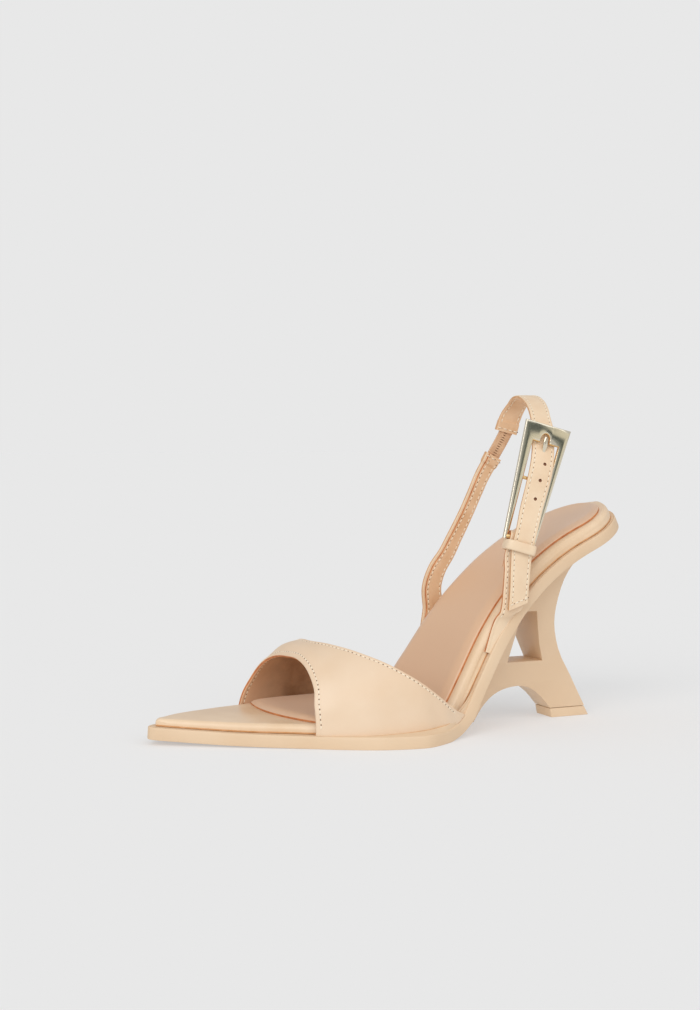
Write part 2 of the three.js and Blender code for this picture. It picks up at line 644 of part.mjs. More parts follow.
// The heel's outline from behind: a plate that spreads under the seat, pushed out along Y.
function heelBack() {
  const spread = column(HEEL_SPREAD, "spread");
  const halfAt = (up) => lerp(HEEL_WIDE, HEEL_FLARE, spread(up)) / 2;
  const levels = [-0.1, 0.12, 0.2, 0.3, 0.37, 0.44, 0.55, 0.62, 0.7, 0.78, 0.86, 1, 1.25];
  const right = levels.map((up) => new THREE.Vector2(HEEL_ACROSS + halfAt(up), HEEL_RISE * up));
  const left = levels.map((up) => new THREE.Vector2(HEEL_ACROSS - halfAt(up), HEEL_RISE * up)).reverse();
  const geometry = new THREE.ExtrudeGeometry(new THREE.Shape([...right, ...left]), {
    depth: SOLE_RUN,
    bevelEnabled: false,
  });
  return geometry.rotateX(Math.PI / 2).translate(0, SOLE_RUN, 0);
}

function heel() {
  const blank = solid(heelSide()).intersect(solid(heelBack()));
  const body = blank.subtract(slab(-SEAM, HEEL_RISE));
  const pieces = body.decompose().sort((a, b) => b.volume() - a.volume());
  return geometryOf(pieces[0]);
}

function topLift() {
  const [frontFoot, backFoot] = LIFT_FOOT;
  const shape = new THREE.Shape([
    new THREE.Vector2(runY(frontFoot), 0),
    new THREE.Vector2(runY(backFoot), 0),
    new THREE.Vector2(runY(HEEL_BACK[0].along), LIFT_THICK),
    new THREE.Vector2(runY(HEEL_ARCH.at(-1).along), LIFT_THICK),
  ]);
  return plate(shape, HEEL_WIDE);
}

// The buckle's own axes: W across to the heel, A up along it, N out of its face.
const frameAxes = (() => {
  const turn = new THREE.Euler(-FRAME_LEAN * DEGREE, 0, 0);
  const tuck = new THREE.Matrix4().makeRotationY(-FRAME_TUCK * DEGREE);
  const yaw = new THREE.Matrix4().makeRotationZ(-FRAME_TURN * DEGREE);
  const lean = new THREE.Matrix4().makeRotationFromEuler(turn);
  const all = yaw.multiply(tuck).multiply(lean);
  const axis = (x, y, z) => new THREE.Vector3(x, y, z).applyMatrix4(all);
  return { W: axis(0, 1, 0), A: axis(0, 0, 1), N: axis(1, 0, 0) };
})();

const LOOP_TOP = HEEL_RISE + LOOP_ABOVE_SEAT;

// Where a strap stands on the outsole's ledge, on the outer side (1) or the inner (-1).
function strapFoot(along, side) {
  const half = side > 0 ? lateral(along) : medial(along);
  const x = BALL_WIDTH * half - side * (STRAP_LEDGE + STRAP_THICK / 2);
  return deckOver(x, runY(along), OUTSOLE_THICK + SEAM);
}
const OUTER_FOOT = strapFoot(STRAP_FOOT, 1);
const INNER_FOOT = strapFoot(MEDIAL_FOOT, -1);

// A row of a strap's table as a point with its direction across, its width and its thickness.
function strapPoint(row) {
  const turn = (row.turn ?? 0) * DEGREE;
  return {
    at: new THREE.Vector3(BALL_WIDTH * row.across, runY(row.along), LOOP_TOP * row.up),
    side: new THREE.Vector3(Math.sin(turn), Math.cos(turn), 0),
    width: STRAP_WIDTH * (row.wide ?? 1),
    thick: row.cuff ? CUFF_THICK : STRAP_THICK,
  };
}

const FRAME_ORIGIN = strapPoint(FRAME_FOOT).at;

// A point in the buckle's own axes, with the strap's direction across it.
function framePoint(w, a, n, wide = 1) {
  const at = FRAME_ORIGIN.clone()
    .addScaledVector(frameAxes.W, w)
    .addScaledVector(frameAxes.A, a)
    .addScaledVector(frameAxes.N, n);
  return { at, side: frameAxes.W, width: STRAP_WIDTH * wide, thick: STRAP_THICK };
}

// A geometry drawn in the buckle's axes: its x runs along the first, its y the second, its z the third.
function onFrame(geometry, first, second, third) {
  const turn = new THREE.Matrix4().makeBasis(frameAxes[first], frameAxes[second], frameAxes[third]);
  return geometry.applyMatrix4(turn.setPosition(FRAME_ORIGIN));
}

// A flat strap along rows of points, with perRow rings from each row to the next. slant moves the two
// corners of the last ring along the strap, and grow makes the strap wider and thicker all round.
function ribbon(rows, perRow, slant = 0, grow = 0) {
  const path = new THREE.CatmullRomCurve3(rows.map((row) => row.at), false, "centripetal");
  const spans = rows.length - 1;
  const steps = perRow * spans;
  const rings = [];
  for (let i = 0; i <= steps; i += 1) {
    const from = Math.min(Math.floor(i / perRow), spans - 1);
    const share = i / perRow - from;
    const [a, b] = [rows[from], rows[from + 1]];
    const middle = path.getPoint(i / steps);
    const ahead = path.getTangent(i / steps);
    const side = new THREE.Vector3().lerpVectors(a.side, b.side, share);
    side.addScaledVector(ahead, -side.dot(ahead)).normalize();
    const out = new THREE.Vector3().crossVectors(side, ahead);
    const halfWidth = lerp(a.width, b.width, share) / 2 + grow;
    const halfThick = lerp(a.thick, b.thick, share) / 2 + grow;
    const slip = i === steps ? slant : 0;
    const corner = (u, v) => middle.clone()
      .addScaledVector(side, u * halfWidth)
      .addScaledVector(out, v * halfThick)
      .addScaledVector(ahead, -u * slip);
    rings.push([corner(-1, -1), corner(1, -1), corner(1, 1), corner(-1, 1)]);
  }
  return loft(rings);
}

const FOLD_RADIUS = FRAME_BOTTOM_BAR + SEAM + STRAP_THICK / 2;
const LAYER_STEP = STRAP_THICK + SEAM; // from one layer of strap to the next
const BEHIND_BAR = -(FRAME_THICK / 2 + SEAM + STRAP_THICK / 2);
const WINDOW_TOP = FRAME_HEIGHT - FRAME_BOTTOM_BAR - FRAME_TOP_BAR;
const CROSSING = WINDOW_TOP - 4; // strap and prong cross this far above the bottom bar
const FRAME_END = FRAME_HEIGHT - FRAME_BOTTOM_BAR;

// How far the lower strap's outer layer stands out of the frame's plane, below the bottom bar.
const layerOut = (drop) => FOLD_RADIUS * (1 - 0.075 * drop);

// Lower strap: out from under the footbed, up, round the bottom bar and down again behind itself.
function buckleStrap() {
  const foot = { ...strapPoint(LOWER_STRAP[0]), at: OUTER_FOOT.clone() };
  const buried = { ...foot, at: foot.at.clone().add(new THREE.Vector3(0, -0.34 * STRAP_BURY, -STRAP_BURY)) };
  const fold = [0, 30, 60, 90, 120, 150, 180].map((angle) => {
    const a = FOLD_RADIUS * Math.sin(angle * DEGREE);
    return framePoint(0, a, FOLD_RADIUS * Math.cos(angle * DEGREE));
  });
  const rows = [
    buried,
    foot,
    ...LOWER_STRAP.map(strapPoint),
    ...[8, 4].map((drop) => framePoint(0, -drop, layerOut(drop))),
    ...fold,
    ...[4, 8, 13].map((drop) => framePoint(0, -drop, layerOut(drop) - LAYER_STEP)),
  ];
  const strap = solid(ribbon(rows, 3));
  return geometryOf(strap.subtract(slab(-HEEL_RISE / 2, OUTSOLE_THICK + SEAM)));
}

// The sling's rows on the buckle: behind the top bar, through the window, over the pivot bar and the fold.
const SLING_ON_BUCKLE = [
  { w: -2.4, a: FRAME_END, n: BEHIND_BAR - 0.35, wide: 1 },
  { w: -1.1, a: FRAME_END - FRAME_TOP_BAR / 2, n: BEHIND_BAR, wide: 1.02 },
  { w: 0.3, a: WINDOW_TOP, n: BEHIND_BAR + 0.1, wide: 1.04 },
  { w: 0.65, a: CROSSING + 1.5, n: -1, wide: 1.04 },
  { w: 0.8, a: CROSSING - 1, n: 0.2, wide: 1.04 },
  { w: 0.95, a: CROSSING - 4, n: 1.3, wide: 1.04 },
  { w: 1.1, a: PIVOT_HEIGHT + 4, n: 2.4, wide: 1.05 },
  { w: 1.2, a: PIVOT_HEIGHT - 1, n: 2.5, wide: 1.05 },
  { w: 1, a: PIVOT_HEIGHT * 0.5, n: FOLD_RADIUS + 0.3 * LAYER_STEP, wide: 1 },
  { w: 1, a: PIVOT_HEIGHT * 0.2, n: FOLD_RADIUS + 0.95 * LAYER_STEP, wide: 0.97 },
  { w: 1, a: 0, n: FOLD_RADIUS + LAYER_STEP, wide: 0.96 },
  { w: 1.2, a: -KEEPER_DROP, n: layerOut(KEEPER_DROP) + LAYER_STEP, wide: 0.95 },
];

// The sling: from its cuff on the inner side over the loop, through the buckle and keeper to its cut end.
function slingRows() {
  const loop = SLING_LOOP.map(strapPoint).reverse();
  const buckle = SLING_ON_BUCKLE.map(({ w, a, n, wide }) => framePoint(w, a, n, wide));
  const tip = SLING_TIP.map(strapPoint);
  return [...loop, ...buckle, ...tip];
}

const medialRows = () => MEDIAL_STRAP.map(strapPoint);

// The elastic's rows: grip deep in the sling's cuff, across the gap, grip deep in the inner strap's cuff.
function elasticRows(grip) {
  const end = (rows) => {
    const [last, before] = rows;
    const inward = before.at.clone().sub(last.at).normalize();
    const row = (depth) => ({
      at: last.at.clone().addScaledVector(inward, depth),
      side: last.side,
      width: ELASTIC_WIDTH,
      thick: ELASTIC_THICK,
    });
    return [row(grip), row(0)];
  };
  return [...end(slingRows()), ...end(medialRows().reverse()).reverse()];
}

const elastic = () => ribbon(elasticRows(ELASTIC_GRIP), 4);
const elasticPocket = () => solid(ribbon(elasticRows(ELASTIC_GRIP + SEAM), 4, 0, SEAM));

function slingStrap() {
  const strap = solid(ribbon(slingRows(), 3, TIP_SLANT));
  return geometryOf(strap.subtract(elasticPocket()).subtract(prongShaft(SEAM)));
}

function medialStrap() {
  const rows = medialRows();
  const foot = { ...rows[0], at: INNER_FOOT.clone() };
  const buried = { ...foot, at: foot.at.clone().add(new THREE.Vector3(0, -0.2 * STRAP_BURY, -STRAP_BURY)) };
  const strap = solid(ribbon([buried, foot, ...rows], 3));
  const cut = strap.subtract(slab(-HEEL_RISE / 2, OUTSOLE_THICK + SEAM));
  return geometryOf(cut.subtract(elasticPocket()));
}

// The prong's middle line, from its ring on the pivot bar through the strap to the notch.
const PRONG_LINE = [
  { w: 1, a: PIVOT_HEIGHT + PIVOT_RADIUS + SEAM, n: -PIVOT_BACK },
  { w: 1, a: PIVOT_HEIGHT + 7, n: -PIVOT_BACK },
  { w: 1, a: CROSSING - 2.5, n: -0.7 },
  { w: 0.9, a: CROSSING, n: -0.1 },
  { w: 0.7, a: CROSSING + 2.5, n: 0.6 },
  { w: 0.4, a: CROSSING + 4.5, n: 0.95 },
  { w: 0, a: WINDOW_TOP + NOTCH_REACH + NOTCH_RADIUS - 1, n: 1 },
];

// One ring of a round bar.
function barRing(middle, first, second, radius) {
  return Array.from({ length: BAR_SIDES }, (_, j) => {
    const angle = (j / BAR_SIDES) * 2 * Math.PI;
    return middle.clone()
      .addScaledVector(first, radius * Math.cos(angle))
      .addScaledVector(second, radius * Math.sin(angle));
  });
}

// The prong's tapered shaft, grown by grow all round.
function prongShaft(grow) {
  const points = PRONG_LINE.map(({ w, a, n }) => framePoint(w, a, n).at);
  const path = new THREE.CatmullRomCurve3(points, false, "centripetal");
  const steps = 3 * (points.length - 1);
  const rings = Array.from({ length: steps + 1 }, (_, i) => {
    const t = i / steps;
    const ahead = path.getTangent(t);
    const out = new THREE.Vector3().crossVectors(frameAxes.W, ahead).normalize();
    return barRing(path.getPoint(t), frameAxes.W, out, PRONG_RADIUS * (1 - 0.45 * t ** 4) + grow);
  });
  return solid(loft(rings));
}

// A bar straight across the buckle at height a and depth n, half long to either side of middle.
function crossBar(a, n, radius, half, middle = 0) {
  const ends = [middle - half, middle + half];
  const rings = ends.map((w) => barRing(framePoint(w, a, n).at, frameAxes.A, frameAxes.N, radius));
  return solid(loft(rings));
}

function prong() {
  const bore = PIVOT_RADIUS + SEAM;
  const halfRing = PRONG_RING_WIDE / 2;
  const { w } = PRONG_LINE[0];
  const ring = crossBar(PIVOT_HEIGHT, -PIVOT_BACK, bore + PRONG_RING, halfRing, w);
  const hole = crossBar(PIVOT_HEIGHT, -PIVOT_BACK, bore, 2 * halfRing, w);
  return geometryOf(ring.add(prongShaft(0)).subtract(hole));
}

// Buckle frame: a tapered arch with a straight window, closed by a round bottom bar, with the pivot bar
// behind its middle and a shallow notch for the prong's tip.
function buckleFrame() {
  const point = (w, a) => new THREE.Vector2(w, a);
  const left = OPENING_SHIFT - FRAME_OPENING / 2;
  const right = OPENING_SHIFT + FRAME_OPENING / 2;
  const shape = new THREE.Shape([
    point(-FRAME_BOTTOM / 2, -FRAME_BOTTOM_BAR),
    point(left, -FRAME_BOTTOM_BAR),
    point(left, WINDOW_TOP),
    point(right + OPENING_FLARE, WINDOW_TOP),
    point(right, -FRAME_BOTTOM_BAR),
    point(FRAME_BOTTOM / 2, -FRAME_BOTTOM_BAR),
    point(FRAME_TOP / 2, FRAME_END),
    point(-FRAME_TOP / 2, FRAME_END),
  ]);
  const arch = new THREE.ExtrudeGeometry(shape, {
    depth: FRAME_THICK - 2 * FRAME_BEVEL,
    bevelThickness: FRAME_BEVEL,
    bevelSize: FRAME_BEVEL,
    bevelOffset: -FRAME_BEVEL,
    bevelSegments: 3,
  });
  arch.translate(0, 0, FRAME_BEVEL - FRAME_THICK / 2);
  const notch = new THREE.Shape();
  notch.moveTo(-NOTCH_RADIUS, WINDOW_TOP - 1);
  notch.lineTo(NOTCH_RADIUS, WINDOW_TOP - 1);
  notch.absarc(0, WINDOW_TOP + NOTCH_REACH, NOTCH_RADIUS, 0, Math.PI);
  const recess = new THREE.ExtrudeGeometry(notch, {
    depth: FRAME_THICK,
    bevelEnabled: false,
    curveSegments: CURVE_STEPS,
  });
  const overlap = FRAME_BEVEL; // how far the bars run into the legs
  return geometryOf(
    solid(onFrame(arch, "W", "A", "N"))
      .subtract(solid(onFrame(recess, "W", "A", "N")))
      .add(crossBar(0, 0, FRAME_BOTTOM_BAR, right + overlap))
      .add(crossBar(PIVOT_HEIGHT, -PIVOT_BACK, PIVOT_RADIUS, right + OPENING_FLARE + overlap)),
  );
}

// Keeper: a leather band round the sling and both layers of the lower strap.
function keeper() {
  const corner = KEEPER_THICK + SEAM;
  const low = -FOLD_RADIUS - STRAP_THICK / 2;
  const high = layerOut(KEEPER_DROP - KEEPER_WIDE / 2) + LAYER_STEP + STRAP_THICK / 2 + 1.5 * SEAM;
  const half = (KEEPER_ROOM * STRAP_WIDTH) / 2 + SEAM;
  const band = (grow, radius) => {
    const [left, right, bottom, top] = [low - grow, high + grow, -half - grow, half + grow];
    const path = new THREE.Shape();
    path.absarc(right - radius, top - radius, radius, 0, Math.PI / 2);
    path.absarc(left + radius, top - radius, radius, Math.PI / 2, Math.PI);
    path.absarc(left + radius, bottom + radius, radius, Math.PI, 1.5 * Math.PI);
    path.absarc(right - radius, bottom + radius, radius, 1.5 * Math.PI, 2 * Math.PI);
    return path;
  };
  const shape = band(KEEPER_THICK, corner);
  shape.holes.push(band(0, SEAM));
  const ring = new THREE.ExtrudeGeometry(shape, {
    depth: KEEPER_WIDE,
    bevelEnabled: false,
    curveSegments: 4,
  });
  return onFrame(ring.translate(0, KEEPER_SHIFT, -KEEPER_DROP - KEEPER_WIDE / 2), "N", "W", "A");
}

const leather = (color, roughness = 0.5) => new THREE.MeshStandardMaterial({ color, roughness });
const MATERIALS = {
  vampLeather: leather(0xe8cfae, 0.45),
  strapLeather: leather(0xe2c299, 0.5),
  sockLeather: leather(0xd6b492, 0.45),
  moulded: leather(0xe2c6a3, 0.6),
  lacquered: leather(0xdcbd9b, 0.35),
  elastic: leather(0xd9b083, 0.7),
  paleGold: new THREE.MeshStandardMaterial({ color: 0xd9c79a, roughness: 0.15, metalness: 1 }),
};

const PIECES = [
  ["outsole", outsole, "moulded"],
  ["heel", heel, "lacquered"],
  ["top_lift", topLift, "moulded"],
  ["footbed", footbed, "vampLeather"],
  ["sock", sock, "sockLeather"],
  ["vamp", vamp, "vampLeather"],
  ["buckle_strap", buckleStrap, "strapLeather"],
  ["buckle_frame", buckleFrame, "paleGold"],
  ["prong", prong, "paleGold"],
  ["keeper", keeper, "strapLeather"],
  ["sling_strap", slingStrap, "strapLeather"],
  ["elastic", elastic, "elastic"],
  ["medial_strap", medialStrap, "strapLeather"],
];

const sandal = new THREE.Group();
for (const [name, make, material] of PIECES) {
  const mesh = new THREE.Mesh(make(), MATERIALS[material]);
  mesh.name = name;
  sandal.add(mesh);
}

export default sandal;
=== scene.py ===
# %% [markdown]
# A nude slingback sandal on a tower heel, dressed for a studio photograph.
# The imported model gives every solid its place. Each soft piece is made again here, in the same place, from
# the same named sizes, with the fine things that a solid leaves out: rolled edges, seams, stitches and grain.
# Lengths in this file are millimetres until a mesh is made, because shoemakers measure in millimetres.

# %% Load the frame
import math

import bmesh
import bpy
import numpy as np
from mathutils import Matrix, Vector


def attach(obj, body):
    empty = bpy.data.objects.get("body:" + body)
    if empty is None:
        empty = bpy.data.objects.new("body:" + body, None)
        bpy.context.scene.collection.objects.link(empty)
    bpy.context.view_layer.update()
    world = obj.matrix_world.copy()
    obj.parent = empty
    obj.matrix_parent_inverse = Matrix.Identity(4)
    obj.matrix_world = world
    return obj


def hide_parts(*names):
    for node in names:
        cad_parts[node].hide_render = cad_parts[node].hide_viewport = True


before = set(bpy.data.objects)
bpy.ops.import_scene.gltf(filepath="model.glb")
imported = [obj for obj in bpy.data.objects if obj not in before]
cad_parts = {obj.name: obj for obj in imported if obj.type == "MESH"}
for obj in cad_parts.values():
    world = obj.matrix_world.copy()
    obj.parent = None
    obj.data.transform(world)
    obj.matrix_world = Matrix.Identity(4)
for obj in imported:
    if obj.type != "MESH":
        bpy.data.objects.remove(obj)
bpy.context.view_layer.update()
MM = 0.001
scene = bpy.context.scene
print("solids in the frame:", len(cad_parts))

# %% [markdown]
# A studio photograph of a shoe is mostly about light. The camera stands low, a little above the sole, and far
# enough away that the lines hardly converge. The lens is worked out from the focal length in pixels and the
# long side of the picture, since Blender lays its sensor width along that side.

# %% Camera
PICTURE_HIGH = 1010
FOCAL_PIXELS = 1649.95
CAMERA_PLACE = (0.65896, -0.29722, 0.13491)
CAMERA_YAW = math.radians(65.78)
CAMERA_DOWN = math.radians(2.79)
SENSOR_MM = 36


def make_camera():
    """A camera that looks at the sandal as the photograph does."""
    data = bpy.data.cameras.new("studio_camera")
    data.sensor_width = SENSOR_MM
    data.lens = FOCAL_PIXELS * SENSOR_MM / PICTURE_HIGH
    data.clip_start = 0.01
    camera = bpy.data.objects.new("studio_camera", data)
    scene.collection.objects.link(camera)
    level = math.cos(CAMERA_DOWN)
    back = Vector((math.sin(CAMERA_YAW) * level, -math.cos(CAMERA_YAW) * level, math.sin(CAMERA_DOWN)))
    right = Vector((math.cos(CAMERA_YAW), math.sin(CAMERA_YAW), 0))
    camera.matrix_world = Matrix.Translation(CAMERA_PLACE) @ Matrix(
        (right, back.cross(right), back)
    ).transposed().to_4x4()
    scene.camera = camera
    return camera


camera = make_camera()
print("lens in mm:", round(camera.data.lens, 2))

# %% [markdown]
# Colours are written as the hex values a screen shows. Blender mixes light in linear values, so one function
# turns them. A second one adds a node with its settings and its links, which keeps the materials short.

# %% Colour and node helpers


def linear(hex_colour):
    """An sRGB hex colour as a linear one with full opacity."""
    parts = [int(hex_colour[i : i + 2], 16) / 255 for i in (1, 3, 5)]
    return tuple(c / 12.92 if c <= 0.04045 else ((c + 0.055) / 1.055) ** 2.4 for c in parts) + (1.0,)


def add(tree, kind, settings=None, links=None):
    """Adds one node. A setting or a link is named by its socket, or by its place in the list of sockets."""
    node = tree.nodes.new(kind)
    for name, value in (settings or {}).items():
        if isinstance(name, int) or name in node.inputs:
            node.inputs[name].default_value = value
        else:
            setattr(node, name, value)
    for name, source in (links or {}).items():
        tree.links.new(source, node.inputs[name])
    return node


def start_material(name):
    """An empty material with its principled shader linked up."""
    material = bpy.data.materials.new(name)
    material.use_nodes = True
    tree = material.node_tree
    tree.nodes.clear()
    output = add(tree, "ShaderNodeOutputMaterial")
    shader = add(tree, "ShaderNodeBsdfPrincipled")
    tree.links.new(shader.outputs["BSDF"], output.inputs["Surface"])
    return material, tree, shader


# %% [markdown]
# The floor and the air behind it are one pale grey in the photograph, with no line between them. A flat floor
# under an even sky does that by itself: sky and lamps light it the same everywhere, and the floor's own grey
# is chosen so that it equals the sky. The shoe's shadows are faint, as on a lit table, so part of the floor's
# grey is its own glow, a shade bluer than what it reflects.

# %% Floor, sky and lamps
SKY = 0.807  # linear grey that the sky shows
SKY_LIGHT = 0.74  # the sky lights things this much as strongly as it looks
SUN_SHARE = 0.34  # what the lamps add to a level surface, as a share of the sky
FLOOR_GLOW = 0.4
FLOOR_MM = 14000


def make_floor():
    """A wide pale floor whose grey makes up for the lamps."""
    half = FLOOR_MM * MM / 2
    mesh = bpy.data.meshes.new("studio_floor")
    corners = [(-half, -half, 0), (half, -half, 0), (half, half, 0), (-half, half, 0)]
    mesh.from_pydata(corners, [], [(0, 1, 2, 3)])
    floor = bpy.data.objects.new("studio_floor", mesh)
    scene.collection.objects.link(floor)
    material, tree, shader = start_material("matte_paper_floor")
    grey = (1 - FLOOR_GLOW) / (SKY_LIGHT + SUN_SHARE)
    position = add(tree, "ShaderNodeTexCoord")
    fibre = add(
        tree, "ShaderNodeTexNoise", {"Scale": 3.0, "Detail": 2.0}, {"Vector": position.outputs["Object"]}
    )
    ramp = add(tree, "ShaderNodeValToRGB", links={"Fac": fibre.outputs["Fac"]})
    tint = 0.06
    for element, shade in zip(ramp.color_ramp.elements, (0.997, 1.003)):
        element.color = (grey * shade * (1 + tint), grey * shade, grey * shade * (1 - tint), 1)
    tree.links.new(ramp.outputs["Color"], shader.inputs["Base Color"])
    balance = tint * (1 - FLOOR_GLOW) / FLOOR_GLOW
    shader.inputs["Emission Color"].default_value = (1 - balance, 1, 1 + balance, 1)
    shader.inputs["Emission Strength"].default_value = SKY * FLOOR_GLOW
    shader.inputs["Roughness"].default_value = 1
    shader.inputs["Specular IOR Level"].default_value = 0
    mesh.materials.append(material)
    return floor


def make_sky():
    """An even grey sky that looks brighter to the camera than it shines."""
    world = bpy.data.worlds.new("studio_sky")
    world.use_nodes = True
    tree = world.node_tree
    seen = add(tree, "ShaderNodeLightPath").outputs["Is Camera Ray"]
    level = add(tree, "ShaderNodeMapRange", {"To Min": SKY * SKY_LIGHT, "To Max": SKY}, {"Value": seen})
    sky = tree.nodes["Background"]
    sky.inputs["Color"].default_value = (1, 1, 1, 1)
    tree.links.new(level.outputs["Result"], sky.inputs["Strength"])
    scene.world = world


def make_sun(name, share, azimuth, height, spread):
    """A soft lamp. share is what it adds to a level surface; angles are in degrees, azimuth from +X to +Y."""
    data = bpy.data.lights.new(name, "SUN")
    data.angle = math.radians(spread)
    up = math.sin(math.radians(height))
    data.energy = math.pi * SKY * share / up
    lamp = bpy.data.objects.new(name, data)
    scene.collection.objects.link(lamp)
    turn = math.radians(azimuth)
    level = math.cos(math.radians(height))
    towards = Vector((math.cos(turn) * level, math.sin(turn) * level, up))
    lamp.rotation_mode = "QUATERNION"
    lamp.rotation_quaternion = towards.to_track_quat("Z", "Y")
    return lamp


make_floor()
make_sky()
make_sun("key_lamp", SUN_SHARE * 0.6, -48, 32, 40)
make_sun("fill_lamp", SUN_SHARE * 0.4, 15, 40, 60)
scene.view_settings.view_transform = "Standard"

# %% [markdown]
# The sole is the base of everything above it, so its form is worked out once and every layer asks it for
# points. It is a table from toe tip to heel end: how high the underside is, and how far the two edges lie
# from the middle. A smooth curve through each column of the table never swings past its neighbouring rows.

# %% The sole's table
SOLE_RUN = 224.8
BALL_WIDTH = 84
HEEL_RISE = 90
TREAD_SHARE = 0.4084
OUTSOLE_THICK = 5.4
FOOTBED_THICK = 5
SOCK_THICK = 2.5
SOCK_EDGE = 1.1
SOCK_PAD = 5
SOCK_INSET = 3.7
SOCK_BOW = 7
FOOTBED_LEDGE = 3
TOE_CORNER = 2.6
TOE_BLUNT = 0.35
SEAT_RADIUS = 27
BALL_SHELF = 4.6
SEAT_CUP = 1.3
SEAM = 0.3
LEATHER = 1.6
VAMP_LEDGE = 1.3
VAMP_LEAN = 0.5
VAMP_CROWN = 41.5
CROWN_ACROSS = -4
SECTION_POWER = 2.3
SOLE_COLUMNS = ("along", "rise", "lateral", "medial", "skew", "footbed", "ledge", "vamp", "cup")
SOLE = [
    (0, 0.028, -0.03, -0.092, 0, 0.6, 1, 0, 0),
    (0.07, 0.017, 0.082, -0.25, 0, 0.66, 0.95, 0, 0),
    (0.145, 0.008, 0.203, -0.35, 0, 0.72, 0.95, 0, 0),
    (0.235, 0.002, 0.338, -0.443, 0, 0.76, 0.8, 1, 0),
    (0.313, 0, 0.45, -0.485, 0, 0.8, 0.8, 1, 0),
    (0.39, 0, 0.52, -0.484, 0.03, 0.85, 0.8, 1, 0),
    (0.46, 0, 0.54, -0.44, 0.08, 0.92, 0.8, 1, 0.1),
    (0.517, 0, 0.505, -0.395, 0.12, 1, 0.8, 1, 0.2),
    (0.555, 0.013, 0.458, -0.365, 0.135, 1.04, 0.8, 1, 0.3),
    (0.591, 0.062, 0.414, -0.34, 0.135, 1.06, 0.8, 1, 0.3),
    (0.632, 0.224, 0.388, -0.32, 0.12, 1.08, 0.8, 0, 0.3),
    (0.684, 0.434, 0.364, -0.305, 0.1, 1.08, 0.8, 0, 0.3),
    (0.731, 0.582, 0.346, -0.3, 0.08, 1.08, 0.75, 0, 0.4),
    (0.787, 0.712, 0.332, -0.304, 0.06, 1.08, 0.7, 0, 0.6),
    (0.852, 0.821, 0.323, -0.314, 0.03, 1.08, 0.65, 0, 0.9),
    (0.934, 0.92, 0.32, -0.322, 0, 1.06, 0.6, 0, 1),
    (1, 1, 0.32, -0.322, 0, 1, 0.6, 0, 1),
]


def smooth_column(columns, rows, name):
    """One column of a table as a smooth function of its first column."""
    at = np.array([row[0] for row in rows], float)
    value = np.array([row[columns.index(name)] for row in rows], float)
    slope = np.diff(value) / np.diff(at)
    before = np.concatenate([slope[:1], slope])
    after = np.concatenate([slope, slope[-1:]])
    total = np.where(before + after == 0, 1, before + after)
    lean = np.where(before * after > 0, 2 * before * after / total, 0)

    def read(along):
        along = np.asarray(along, float)
        i = np.clip(np.searchsorted(at, along, side="left") - 1, 0, len(at) - 2)
        span = at[i + 1] - at[i]
        t = np.clip((along - at[i]) / span, 0, 1)
        rest = 1 - t
        ends = value[i] * (1 + 2 * t) * rest**2 + value[i + 1] * (3 - 2 * t) * t**2
        return ends + span * t * rest * (lean[i] * rest - lean[i + 1] * t)

    return read


rise, lateral, medial, skew, footbed_share, ledge_share, under_vamp, cup_share = (
    smooth_column(SOLE_COLUMNS, SOLE, name) for name in SOLE_COLUMNS[1:]
)
SKEW_EDGE = 0.38 * BALL_WIDTH
SHELF_COLUMNS = ("along", "share", "lip")
SHELF = [
    (0.28, 0, 0),
    (0.356, 0.5, 0.1),
    (0.416, 0.88, 0.6),
    (0.455, 1, 1.1),
    (0.49, 0.72, 1.6),
    (0.52, 0.36, 2.1),
    (0.57, 0, 2.8),
    (0.59, 0, 2.6),
    (0.625, 0, 0),
]
shelf_share = smooth_column(SHELF_COLUMNS, SHELF, "share")
lip_height = smooth_column(SHELF_COLUMNS, SHELF, "lip")


def run_y(along):
    """Y of a share of the sole's run."""
    return (along - TREAD_SHARE) * SOLE_RUN


def run_share(y):
    """Share of the sole's run at Y."""
    return y / SOLE_RUN + TREAD_SHARE


# %% [markdown]
# A sole bends, so the layers are laid out along its underside, as a shoemaker bends a tape along it. The
# underside is walked in small steps, and a point of any layer is then a length walked, a place across and a
# height above the underside.

# %% Walk the underside
WALK_STEPS = 2400
walk_y = run_y(np.linspace(0, 1, WALK_STEPS + 1))
walk_z = HEEL_RISE * rise(run_share(walk_y))
walk_s = np.concatenate([[0], np.cumsum(np.hypot(np.diff(walk_y), np.diff(walk_z)))])
walk_pitch = np.arctan2(np.gradient(walk_z), np.gradient(walk_y))
SOLE_LENGTH = walk_s[-1]
print("length of the sole along its underside:", round(SOLE_LENGTH, 1), "mm")


def deck(s, x, h):
    """Points of the bottom: s along the underside, x across, h up from the underside."""
    s, x, h = np.broadcast_arrays(*(np.asarray(v, float) for v in (s, x, h)))
    y = np.interp(s, walk_s, walk_y)
    z = np.interp(s, walk_s, walk_z)
    pitch = np.interp(s, walk_s, walk_pitch)
    slant = skew(run_share(y)) * (SKEW_EDGE - x)
    return np.stack([x, y - slant - h * np.sin(pitch), z + h * np.cos(pitch)], -1)


def deck_over(x, y, h):
    """The length walked whose deck point at height h lies over the plan point x, y."""
    low = np.zeros(np.broadcast(x, y, h).shape)
    high = np.full(low.shape, SOLE_LENGTH)
    for _ in range(34):
        middle = (low + high) / 2
        past = deck(middle, x, h)[..., 1] > y
        high = np.where(past, middle, high)
        low = np.where(past, low, middle)
    return (low + high) / 2


def edge(s, side):
    """X of the sole's edge on one side at section s."""
    column = lateral if side > 0 else medial
    y = np.interp(s, walk_s, walk_y)
    x = BALL_WIDTH * column(run_share(y))
    for _ in range(4):
        slanted = y - skew(run_share(y)) * (SKEW_EDGE - x)
        x = BALL_WIDTH * column(run_share(slanted))
    return x


